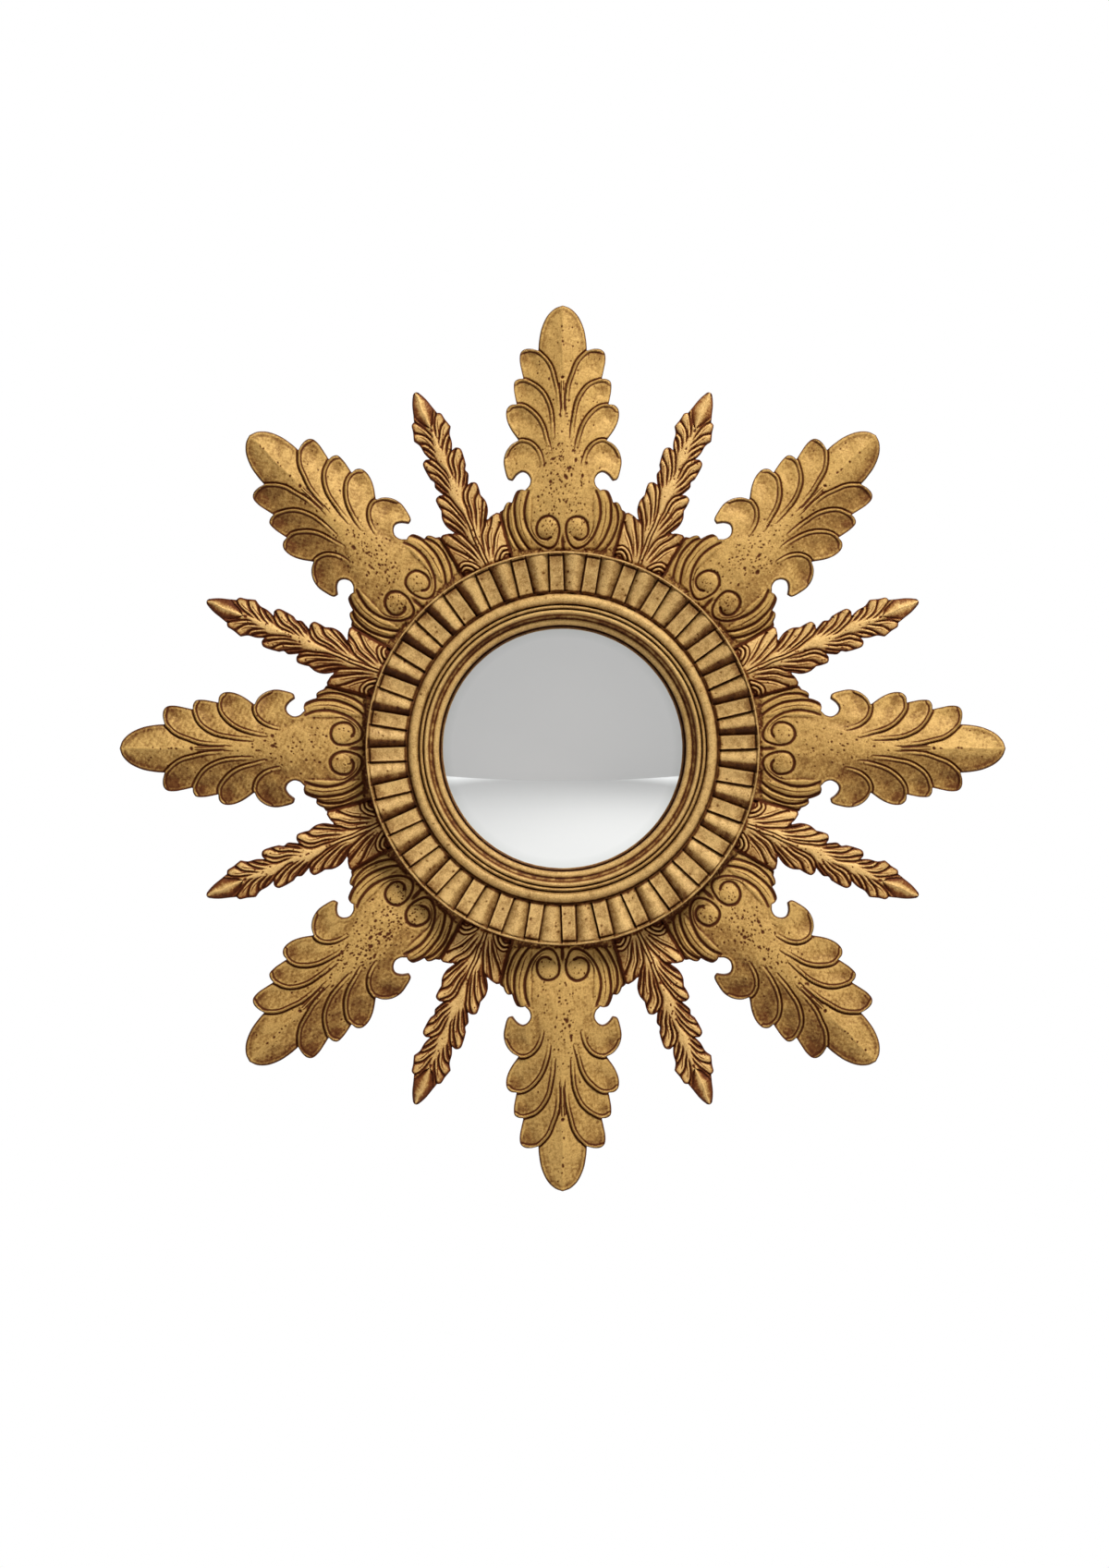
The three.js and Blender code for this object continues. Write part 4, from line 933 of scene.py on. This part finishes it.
slip_profile = [(SLIP_SIGHT, 21.3), (SLIP_SIGHT, 22.4)]
slip_profile += [(97.5, 23.6), (98.0, 24.9), (98.9, 25.9), (100.2, 26.3), (101.4, 26.1), (102.2, 25.3)]
slip_profile += [(102.7, 25.2), (103.5, 25.7), (104.4, 26.5), (105.1, 27.6)]
slip_profile += arch(107.55, 1.85, 29.4, 33.0)
slip_profile += [(109.75, 29.0)]
slip_profile += arch(111.35, 1.2, 30.6, 33.6, 7)
slip_profile += [(112.9, 30.2), (113.35, 29.6), (113.4, 24.35), (102.7, 24.35), (102.7, 21.3)]
slip = spun([(r * MM, h * MM) for r, h in slip_profile], SLIP_STEPS)
co = np.array([vert.co for vert in slip.verts]) / MM
radius = np.hypot(co[:, 0], co[:, 2])
spots = np.column_stack([co[:, 0], co[:, 2]])
seen = -co[:, 1] > 21.8
for vert, wave, s in zip(slip.verts, 0.07 * unevenness(spots, 12, 31), seen):
    if s:
        vert.co.y -= wave * MM
glaze_and_shade = (1.05 * bell(radius - 109.75, 0.5) + 1.05 * bell(radius - 113.4, 0.6)
         + 0.95 * bell(radius - 102.5, 0.55) + 0.85 * bell(radius - 105.3, 0.5)
         + 0.35 * bell(radius - 103.9, 1.2) + 0.5 * bell(radius - 97.3, 0.35))
glaze_and_shade -= 0.15 * bell(radius - 107.5, 0.7) + 0.15 * bell(radius - 100, 0.8)
glaze_and_shade += (0.5 * (mottling(spots, 3, 41) - 0.5) + 0.45 * (mottling(spots, 1.2, 42) - 0.5)) \
    * bell(radius - 103.5, 2.2)
glaze_and_shade += 0.16 * (mottling(spots, 6, 43) - 0.5) + 0.1
layer = slip.verts.layers.float.new("glaze_and_shade")
for vert, value, s in zip(slip.verts, np.clip(glaze_and_shade, 0, 1.3), seen):
    vert[layer] = value if s else 0.9
slip_gilt = gilding("gilded_slip", (206, 169, 107), (160, 124, 70), (104, 60, 25), (66, 32, 10))
finished("reeded_slip_ring", slip, slip_gilt, 50, replaces=["reeded_slip"])

# ---- convex glass, strip and packing ----
# A disc of 3 mm glass, bent to a 300 mm radius and silvered on its back. A foam strip keeps it
# off the slip, and a foam pad behind it takes up the space to the backing board.

GLASS_RADIUS = 101.5
GLASS_CURVE = 300.0


def glass_front(radius):
    return 18 + math.sqrt(GLASS_CURVE ** 2 - radius ** 2) - math.sqrt(
        GLASS_CURVE ** 2 - GLASS_RADIUS ** 2)


def silvered_glass():
    finish, tree, shader = new_finish("silvered_glass")
    shader.inputs["Metallic"].default_value = 1.0
    place = add(tree, "ShaderNodeTexCoord").outputs["Object"]
    haze = add(tree, "ShaderNodeTexNoise", {
        "Vector": place, "Scale": 30, "Detail": 4, "Roughness": 0.6}).outputs["Fac"]
    tree.links.new(between(tree, haze, 0.012, 0.03, 0.3, 0.7), shader.inputs["Roughness"])
    square = add(tree, "ShaderNodeVectorMath", {0: place}, operation="LENGTH").outputs["Value"]
    colour = ramp(tree, between(tree, square, 0, 1, 0.090, 0.104), [
        (0.0, (0.90, 0.915, 0.91, 1)), (1.0, (0.70, 0.73, 0.715, 1))])
    tree.links.new(colour, shader.inputs["Base Color"])
    return finish


front_line = [(r, glass_front(r)) for r in np.linspace(0, GLASS_RADIUS - 0.5, 40)]
glass_profile = front_line + [(GLASS_RADIUS, glass_front(GLASS_RADIUS) - 0.5),
                              (GLASS_RADIUS, glass_front(GLASS_RADIUS) - 2.6)]
glass_profile += [(r, glass_front(r) - 3) for r in np.linspace(GLASS_RADIUS - 0.4, 0, 24)]
glass = spun([(r * MM, h * MM) for r, h in glass_profile], 192)
finished("convex_mirror_glass", glass, silvered_glass(), 50,
         replaces=["convex_glass"])


def foam_rubber():
    finish, tree, shader = new_finish("closed_cell_foam")
    place = add(tree, "ShaderNodeTexCoord").outputs["Object"]
    cells = add(tree, "ShaderNodeTexVoronoi", {"Vector": place, "Scale": 900}).outputs["Distance"]
    colour = ramp(tree, cells, [(0.0, linear(30, 30, 31)), (0.7, linear(58, 58, 60))])
    tree.links.new(colour, shader.inputs["Base Color"])
    shader.inputs["Roughness"].default_value = 0.95
    relief_of(tree, shader, cells, 0.4, 0.0003)
    return finish


foam = foam_rubber()
strip_inner, strip_outer, strip_top = 98.4, 101.2, glass_front(96.1) + 1
strip = spun([(r * MM, h * MM) for r, h in [
    (strip_inner, glass_front(strip_inner) + 0.3), (strip_outer, glass_front(strip_outer) + 0.3),
    (strip_outer, strip_top - 0.1), (strip_inner + 0.3, strip_top), (strip_inner, strip_top - 0.3),
]], 192)
finished("foam_glazing_strip", strip, foam, 40, replaces=["glazing_strip"])
pad = spun([(r * MM, h * MM) for r, h in [
    (0, 3.3), (60, 3.3), (100.4, 3.3), (101, 3.6), (101.2, 4.4), (101.2, 13.6), (101, 14.4),
    (100.4, 14.7), (60, 14.7), (0, 14.7)]], 128)
finished("foam_packing_pad", pad, foam, 40, replaces=["packing_pad"])

# ---- backing board ----
# A disc of 3 mm hardboard closes the back. Its smooth face is brown and shiny, its edge is fuzzy,
# and it lies inside the plywood ring under the turn buttons.


def hardboard_finish():
    finish, tree, shader = new_finish("hardboard")
    place = add(tree, "ShaderNodeTexCoord").outputs["Object"]
    fibre = add(tree, "ShaderNodeTexNoise", {
        "Vector": place, "Scale": 420, "Detail": 6, "Roughness": 0.7}).outputs["Fac"]
    cloud = add(tree, "ShaderNodeTexNoise", {
        "Vector": place, "Scale": 22, "Detail": 4, "Roughness": 0.55}).outputs["Fac"]
    mix = sum_of(tree, (fibre, 0.9, 0.0), (cloud, 0.5, 0.3))
    colour = ramp(tree, mix, [
        (0.25, linear(84, 58, 38)), (0.5, linear(122, 88, 60)), (0.75, linear(146, 108, 76))])
    tree.links.new(colour, shader.inputs["Base Color"])
    tree.links.new(between(tree, fibre, 0.42, 0.62), shader.inputs["Roughness"])
    relief_of(tree, shader, fibre, 0.3, 0.0003)
    return finish


board_profile = [(0, 0), (50, 0), (104.8, 0), (105.2, 0.4), (105.2, 2.6), (104.8, 3), (50, 3), (0, 3)]
board = spun([(r * MM, h * MM) for r, h in board_profile], 192)
finished("hardboard_back", board, hardboard_finish(), 40,
         replaces=["backing_board"])

# ---- countersunk screws ----
# Twenty zinc plated countersunk screws hold the rays and the ring moulding from behind, with
# cross recesses in their heads and a thread on each shank.

SCREW_SEGMENTS = 32


def zinc_plating(name, colour, rough):
    finish, tree, shader = new_finish(name)
    place = add(tree, "ShaderNodeTexCoord").outputs["Object"]
    cloud = add(tree, "ShaderNodeTexNoise", {
        "Vector": place, "Scale": 260, "Detail": 5, "Roughness": 0.6}).outputs["Fac"]
    scratch_place = add(tree, "ShaderNodeMapping", {
        "Vector": place, "Scale": (1, 1, 12), "Rotation": (0, 0.5, 0)}).outputs[0]
    scratch = add(tree, "ShaderNodeTexNoise", {
        "Vector": scratch_place, "Scale": 500, "Detail": 2}).outputs["Fac"]
    dim = tuple(0.72 * c for c in colour[:3]) + (1,)
    tree.links.new(ramp(tree, cloud, [(0.35, dim), (0.65, colour)]), shader.inputs["Base Color"])
    shader.inputs["Metallic"].default_value = 1.0
    tree.links.new(between(tree, cloud, rough - 0.07, rough + 0.12, 0.3, 0.7),
                   shader.inputs["Roughness"])
    relief_of(tree, shader, scratch, 0.12, 0.0001)
    return finish


def pointed_screw(head_profile, shank, thread, start, end, point):
    """A screw about its own axis, +Y at its head, from head (radius, depth) points down."""
    profile = [(r, d) for r, d in head_profile]
    depth, pitch = start, 1.3
    while depth + pitch < end - point:
        profile += [(shank, depth), (shank, depth + 0.5 * pitch), (thread, depth + 0.72 * pitch)]
        depth += pitch
    while depth + pitch < end - 0.4:
        left = (end - depth) / point
        profile += [(max(0.25, shank * left), depth), (max(0.45, thread * left), depth + 0.5 * pitch)]
        depth += 0.8 * pitch
    profile.append((0, end))
    return spun([(r * MM, d * MM) for r, d in profile], SCREW_SEGMENTS)


def cross_recess(bm, top, reach, width, deep):
    """Sinks a cross into the flat middle of a screw's head."""
    cap = [face for face in bm.faces if face.normal.y > 0.99
           and max(math.hypot(v.co.x, v.co.z) for v in face.verts) < reach + 1.3 * MM]
    middle = bmesh.ops.dissolve_faces(bm, faces=cap, use_verts=True)["region"]
    for y_turn in (0, math.pi / 2):
        for offset in (-width / 2, width / 2):
            faces = [f for f in bm.faces if f.normal.y > 0.99 and abs(f.calc_center_median().y - top) < 0.05 * MM]
            geom = faces + list({e for f in faces for e in f.edges}) + list({v for f in faces for v in f.verts})
            normal = Vector((math.cos(y_turn), 0, math.sin(y_turn)))
            bmesh.ops.bisect_plane(bm, geom=geom, plane_co=normal * offset, plane_no=normal, dist=1e-6)
    for y_turn in (0, math.pi / 2):
        for offset in (-reach, reach):
            faces = [f for f in bm.faces if f.normal.y > 0.99 and abs(f.calc_center_median().y - top) < 0.05 * MM]
            geom = faces + list({e for f in faces for e in f.edges}) + list({v for f in faces for v in f.verts})
            normal = Vector((math.cos(y_turn), 0, math.sin(y_turn)))
            bmesh.ops.bisect_plane(bm, geom=geom, plane_co=normal * offset, plane_no=normal, dist=1e-6)
    slots = []
    for face in bm.faces:
        at = face.calc_center_median()
        if face.normal.y > 0.99 and abs(at.y - top) < 0.05 * MM:
            a, b = abs(at.x), abs(at.z)
            if max(a, b) < reach and min(a, b) < width / 2:
                slots.append(face)
    sunk = bmesh.ops.extrude_face_region(bm, geom=slots)["geom"]
    bmesh.ops.delete(bm, geom=slots, context="FACES")
    low = [item for item in sunk if isinstance(item, bmesh.types.BMVert)]
    bmesh.ops.translate(bm, verts=low, vec=(0, -deep, 0))
    bmesh.ops.scale(bm, verts=low, vec=(0.7, 1, 0.7))
    bmesh.ops.recalc_face_normals(bm, faces=bm.faces)


def copies_at(name, base, finish, places):
    """Copies of a small piece, each standing for one CAD node at (x, y, z), turned by an angle."""
    for number, (node, where, roll) in enumerate(places):
        mesh = base.copy()
        mesh.transform(Matrix.Translation(where) @ Matrix.Rotation(roll, 4, "Y"))
        placed(f"{name}_{number + 1}", mesh, finish, 35, "mirror", [node])


def made_mesh(name, bm):
    mesh = bpy.data.meshes.new(name)
    bm.to_mesh(mesh)
    bm.free()
    return mesh


def round_place(radius, degrees, y=0.0):
    turn = math.radians(degrees)
    return Vector((radius * MM * math.sin(turn), y * MM, radius * MM * math.cos(turn)))


screw_zinc = zinc_plating("zinc_plated_screw", (0.72, 0.71, 0.68, 1), 0.34)
rolls = np.random.RandomState(17).uniform(0, 1.5, 40)
ray_screw = pointed_screw([(0, 0.3), (3.7, 0.3), (4, 0.42), (2.1, 2.8)], 1.6, 2.0, 3.2, 16.8, 3)
cross_recess(ray_screw, -0.3 * MM, 2.2 * MM, 0.8 * MM, 1.3 * MM)
ray_screw = made_mesh("ray_screw", ray_screw)
copies_at("leaf_screw_head", ray_screw, screw_zinc, [
    (f"leaf_screw_{i + 1}", round_place(160, 45 * i), rolls[i]) for i in range(8)])
copies_at("frond_screw_head", ray_screw, screw_zinc, [
    (f"frond_screw_{i + 1}", round_place(160, 22.5 + 45 * i), rolls[8 + i]) for i in range(8)])
ring_screw = pointed_screw([(0, 0.3), (3.7, 0.3), (4, 0.42), (2.1, 2.8)], 1.6, 2.0, 3.2, 25.3, 3)
cross_recess(ring_screw, -0.3 * MM, 2.2 * MM, 0.8 * MM, 1.3 * MM)
ring_screw = made_mesh("ring_screw", ring_screw)
copies_at("ring_screw_head", ring_screw, screw_zinc, [
    (f"ring_screw_{i + 1}", round_place(120.6, 22.5 + 90 * i), rolls[16 + i]) for i in range(4)])

# ---- turn buttons ----
# Four stamped zinc plated tabs on pan head screws turn over the backing board's edge to hold it.
# Each is one millimetre sheet with a round hole.

BUTTON_CIRCLE = 112.0
BUTTON_HALF = 4.5
BUTTON_TIP = 3.6


def turn_button():
    """A tab about its screw, long end down (-Z), lying in the XZ plane."""
    bm = bmesh.new()
    tail = bmesh.ops.create_circle(bm, segments=48, radius=BUTTON_HALF * MM, cap_ends=False)["verts"]
    for vert in tail:
        x, y = vert.co.x, vert.co.y
        if y < -1e-9:
            share = math.hypot(x, y)
            x, y = x * BUTTON_TIP / BUTTON_HALF, y * BUTTON_TIP / BUTTON_HALF - 13.9 * MM
        else:
            y += 0.5 * MM
        vert.co = (x, 0, y)
    bmesh.ops.create_circle(bm, segments=24, radius=1.7 * MM, cap_ends=False,
                            matrix=Matrix.Rotation(math.pi / 2, 4, "X"))
    bmesh.ops.bridge_loops(bm, edges=bm.edges)
    bmesh.ops.recalc_face_normals(bm, faces=bm.faces)
    bmesh.ops.solidify(bm, geom=bm.faces, thickness=1.0 * MM)
    low = min(vert.co.y for vert in bm.verts)
    bmesh.ops.translate(bm, verts=bm.verts, vec=(0, 0.3 * MM - low, 0))
    rims = [edge for edge in bm.edges if edge.is_manifold and edge.calc_face_angle() > 1.2]
    bmesh.ops.bevel(bm, geom=rims, offset=0.18 * MM, offset_type="OFFSET", segments=2,
                    profile=0.5, affect="EDGES", material=-1)
    bmesh.ops.recalc_face_normals(bm, faces=bm.faces)
    return made_mesh("turn_button", bm)


tab_zinc = zinc_plating("zinc_plated_tab", (0.74, 0.74, 0.72, 1), 0.38)
tab = turn_button()
for i in range(4):
    mesh = tab.copy()
    mesh.transform(Matrix.Translation(round_place(BUTTON_CIRCLE, 45 + 90 * i))
                   @ Matrix.Rotation(math.radians(45 + 90 * i), 4, "Y"))
    placed(f"turn_button_tab_{i + 1}", mesh, tab_zinc, 35, f"turn_button_{i + 1}",
           [f"turn_button_{i + 1}"])

PAN_HEAD = [(0, -3.25), (1.9, -3.25), (2.5, -3.05), (2.95, -2.55), (3.1, -1.9), (3.1, -1.5),
            (2.95, -1.45), (1.3, -1.45)]
pan_screw = pointed_screw(PAN_HEAD, 1.1, 1.4, 0.3, 8.4, 2)
cross_recess(pan_screw, 3.25 * MM, 1.5 * MM, 0.62 * MM, 1.0 * MM)
pan_screw = made_mesh("pan_screw", pan_screw)
copies_at("button_pan_screw", pan_screw, tab_zinc, [
    (f"button_screw_{i + 1}", round_place(BUTTON_CIRCLE, 45 + 90 * i), rolls[20 + i])
    for i in range(4)])

# ---- hanger ----
# A brass plated strap is rolled round a D ring of wire at the top of the back, and two pan head
# screws hold it to the plywood. The ring folds up over the edge to hang the mirror.

HANGER_TOP = 152.5
PIN_DEPTH = 2.7
brassed = zinc_plating("brass_plated_steel", (0.78, 0.60, 0.30, 1), 0.30)


def strap_plate():
    bm = bmesh.new()
    corners = [bm.verts.new(p) for p in (
        (-6.5, 0, 116.5), (-4.5, 0, 114.5), (4.5, 0, 114.5), (6.5, 0, 116.5), (6.5, 0, 150.6),
        (-6.5, 0, 150.6))]
    bm.faces.new(corners)
    bmesh.ops.scale(bm, verts=bm.verts, vec=(MM, MM, MM))
    lower = bmesh.ops.extrude_face_region(bm, geom=bm.faces[:])["geom"]
    bmesh.ops.translate(bm, verts=[v for v in lower if isinstance(v, bmesh.types.BMVert)],
                        vec=(0, 1 * MM, 0))
    bmesh.ops.translate(bm, verts=bm.verts, vec=(0, 0.3 * MM, 0))
    bmesh.ops.recalc_face_normals(bm, faces=bm.faces)
    bmesh.ops.bevel(bm, geom=bm.edges[:], offset=0.2 * MM, offset_type="OFFSET", segments=2,
                    profile=0.5, affect="EDGES", material=-1)
    # the rolled end: a C of sheet about the pin
    roll = bmesh.new()
    strip = [roll.verts.new((x * MM, 0, 0)) for x in (-6.5, -6.3, 6.3, 6.5)]
    for a, b in zip(strip, strip[1:]):
        roll.edges.new((a, b))
    bmesh.ops.translate(roll, verts=roll.verts, vec=(0, (PIN_DEPTH - 2.4) * MM, HANGER_TOP * MM))
    bmesh.ops.spin(roll, geom=roll.verts[:] + roll.edges[:], cent=(0, PIN_DEPTH * MM, HANGER_TOP * MM),
                   axis=(1, 0, 0), angle=math.radians(-300), steps=40)
    first = bmesh.ops.extrude_edge_only(roll, edges=[
        e for e in roll.edges if e.is_boundary
        and all(abs(v.co.z - HANGER_TOP * MM) < 1e-6 and v.co.y < PIN_DEPTH * MM for v in e.verts)])
    bmesh.ops.translate(roll, verts=[v for v in first["geom"] if isinstance(v, bmesh.types.BMVert)],
                        vec=(0, 0, -2.1 * MM))
    bmesh.ops.recalc_face_normals(roll, faces=roll.faces)
    bmesh.ops.solidify(roll, geom=roll.faces[:], thickness=1.0 * MM)
    bmesh.ops.recalc_face_normals(roll, faces=roll.faces)
    mesh = made_mesh("strap_roll", roll)
    bm.from_mesh(mesh)
    return bm


finished("hanger_strap_plate", strap_plate(), brassed, 35,
         replaces=["hanger_strap"])
copies_at("hanger_pan_screw", pan_screw, brassed, [
    (f"hanger_screw_{i + 1}", Vector((0, 0, (HANGER_TOP - below) * MM)), rolls[26 + i])
    for i, below in enumerate((8, 28.5))])


def bezier(points, count):
    a, b, c, d = (np.array(p, float) for p in points)
    t = np.linspace(0, 1, count, endpoint=False)[:, None]
    return a * (1 - t) ** 3 + 3 * b * t * (1 - t) ** 2 + 3 * c * t ** 2 * (1 - t) + d * t ** 3


def wire_d():
    """Round wire along a D, made as a curve with a round bevel and turned into a mesh."""
    half, corner, shoulder, drop = 10.9, 3.0, 6.0, 16.0
    right = [(x, 0) for x in np.linspace(0, half - corner, 6)]
    right += [tuple(p) for p in bezier([(half - corner, 0), (half - 1, 0), (half, 1), (half, corner)], 8)]
    right += [tuple(p) for p in bezier([(half, corner), (half, 4), (half, 5), (half, shoulder)], 4)]
    crown = [tuple(p) for p in bezier([(half, shoulder), (half, drop), (-half, drop), (-half, shoulder)], 40)]
    left = [(-x, z) for x, z in reversed(right[1:])]
    line = bpy.data.curves.new("d_wire", "CURVE")
    line.dimensions = "3D"
    line.bevel_depth = 1.08 * MM
    line.bevel_resolution = 4
    path = line.splines.new("POLY")
    points = right + crown + left
    path.points.add(len(points) - 1)
    for point, (x, z) in zip(path.points, points):
        point.co = (x * MM, PIN_DEPTH * MM, (HANGER_TOP + z) * MM, 1)
    path.use_cyclic_u = True
    holder = bpy.data.objects.new("d_wire", line)
    bpy.context.scene.collection.objects.link(holder)
    bpy.context.view_layer.update()
    mesh = bpy.data.meshes.new_from_object(holder)
    bpy.data.objects.remove(holder)
    return mesh


d_ring = wire_d()
check = bmesh.new()
check.from_mesh(d_ring)
bmesh.ops.remove_doubles(check, verts=check.verts, dist=1e-6)
bmesh.ops.recalc_face_normals(check, faces=check.faces)
check.to_mesh(d_ring)
check.free()
placed("hanging_d_ring", d_ring, brassed, 60, "hanging_ring", ["hanging_ring"])

# ---- wall pads ----
# Two rubber discs low on the back keep the frame off the wall. They are moulded with a rounded
# rim, and are stuck on.


def rubber_finish():
    finish, tree, shader = new_finish("moulded_rubber")
    place = add(tree, "ShaderNodeTexCoord").outputs["Object"]
    fine = add(tree, "ShaderNodeTexNoise", {
        "Vector": place, "Scale": 700, "Detail": 4}).outputs["Fac"]
    tree.links.new(ramp(tree, fine, [(0.3, linear(52, 49, 46)), (0.7, linear(68, 64, 60))]),
                   shader.inputs["Base Color"])
    tree.links.new(between(tree, fine, 0.7, 0.88), shader.inputs["Roughness"])
    relief_of(tree, shader, fine, 0.3, 0.0002)
    return finish


rubber = rubber_finish()
for i, spread in enumerate((-33.75, 33.75)):
    bumper = spun([(r * MM, -d * MM) for r, d in [
        (0, 0.3), (7.4, 0.3), (7.8, 0.5), (8, 1.0), (8, 3.6), (7.7, 4.5), (6.9, 5.0), (3.4, 5.0),
        (3.0, 4.7), (0, 4.6)]], 48)
    bmesh.ops.translate(bumper, verts=bumper.verts, vec=round_place(150, 180 + spread))
    finished(f"rubber_wall_pad_{i + 1}", bumper, rubber, 40,
             replaces=[f"wall_pad_{i + 1}"])

# ---- studio ----
# A pale floor and a pale wall behind the camera, soft lamps, and the camera straight in front.

FLOOR_LEVEL = -1.05


def pale_surface(name, colour, fade=None):
    """White where the camera or a reflection sees it, and still shaded by the object. A fade of
    (centre, start, end) makes it plain white with the distance from a place."""
    finish, tree, shader = new_finish(name)
    shader.inputs["Base Color"].default_value = colour
    shader.inputs["Roughness"].default_value = 0.9
    path = add(tree, "ShaderNodeLightPath")
    seen = add(tree, "ShaderNodeMath", {
        0: path.outputs["Is Camera Ray"], 1: path.outputs["Is Glossy Ray"]}, operation="MAXIMUM")
    seen = add(tree, "ShaderNodeMath", {
        0: seen.outputs[0], 1: path.outputs["Is Transmission Ray"]}, operation="MAXIMUM").outputs[0]
    if fade:
        place = add(tree, "ShaderNodeTexCoord").outputs["Object"]
        far = add(tree, "ShaderNodeVectorMath", {0: place, 1: fade[0]}, operation="DISTANCE")
        whiteness = between(tree, far.outputs["Value"], 0.42, 1.0, fade[1], fade[2])
        share = add(tree, "ShaderNodeMath", {0: seen, 1: whiteness}, operation="MULTIPLY").outputs[0]
    else:
        share = between(tree, seen, 0, 0.42)
    white = add(tree, "ShaderNodeEmission", {"Color": (1, 1, 1, 1), "Strength": 1.0})
    mixed = add(tree, "ShaderNodeMixShader", {
        0: share, 1: shader.outputs[0], 2: white.outputs[0]}).outputs[0]
    tree.links.new(mixed, tree.nodes["Material Output"].inputs["Surface"])
    return finish


def stage_plane(name, size, place, turn, finish):
    bm = bmesh.new()
    bmesh.ops.create_grid(bm, x_segments=1, y_segments=1, size=1)
    bmesh.ops.scale(bm, verts=bm.verts, vec=(size[0] / 2, size[1] / 2, 1))
    bmesh.ops.transform(bm, matrix=Matrix.Translation(place) @ turn, verts=bm.verts)
    mesh = made_mesh(name, bm)
    mesh.materials.append(finish)
    plane = bpy.data.objects.new(name, mesh)
    bpy.context.scene.collection.objects.link(plane)
    return plane


floor_finish = pale_surface("studio_floor", (0.84, 0.83, 0.82, 1), ((0, -3, FLOOR_LEVEL), 3.4, 4.8))
wall_finish = pale_surface("studio_wall", (0.76, 0.70, 0.68, 1))
stage_plane("floor", (60, 60), (0, 24, FLOOR_LEVEL), Matrix.Identity(4), floor_finish)
stage_plane("far_wall", (60, 12), (0, -6, FLOOR_LEVEL + 6), Matrix.Rotation(math.radians(90), 4, "X"),
            wall_finish)

world = bpy.data.worlds.new("studio")
bpy.context.scene.world = world
world.use_nodes = True
sky = world.node_tree
sky.nodes.clear()
path = add(sky, "ShaderNodeLightPath")
seen = add(sky, "ShaderNodeMath", {
    0: path.outputs["Is Camera Ray"], 1: path.outputs["Is Glossy Ray"]}, operation="MAXIMUM")
seen = add(sky, "ShaderNodeMath", {
    0: seen.outputs[0], 1: path.outputs["Is Transmission Ray"]}, operation="MAXIMUM").outputs[0]
strength = between(sky, seen, 0.15, 1.0)
backdrop = add(sky, "ShaderNodeBackground", {"Color": (1, 1, 1, 1), "Strength": strength})
out = add(sky, "ShaderNodeOutputWorld")
sky.links.new(backdrop.outputs[0], out.inputs["Surface"])


def lamp(name, place, aim, size, power, colour=(1, 1, 1)):
    light = bpy.data.lights.new(name, "AREA")
    light.shape = "RECTANGLE"
    light.size, light.size_y = size
    light.energy = power
    light.color = colour
    holder = bpy.data.objects.new(name, light)
    bpy.context.scene.collection.objects.link(holder)
    holder.location = place
    holder.rotation_euler = (Vector(aim) - Vector(place)).to_track_quat("-Z", "Y").to_euler()
    return holder


lamp("key_softbox", (1.1, -2.0, 2.6), (0, 0, 0), (1.2, 1.2), 154)
lamp("fill_softbox", (-3.4, -1.9, -0.2), (0, 0, 0), (1.2, 1.8), 10)
lamp("back_softbox", (-1.0, 3.0, 2.4), (0, 0, 0), (1.6, 1.2), 45)

camera = bpy.data.cameras.new("camera")
camera.lens = 84.7
camera.sensor_width = 36
camera.sensor_fit = "AUTO"
camera.clip_start = 0.05
holder = bpy.data.objects.new("camera", camera)
bpy.context.scene.collection.objects.link(holder)
holder.location = (-0.0064, -2.934, -0.0281)
holder.rotation_euler = (math.radians(90), 0, 0)
bpy.context.scene.camera = holder
bpy.context.scene.view_settings.view_transform = "Standard"
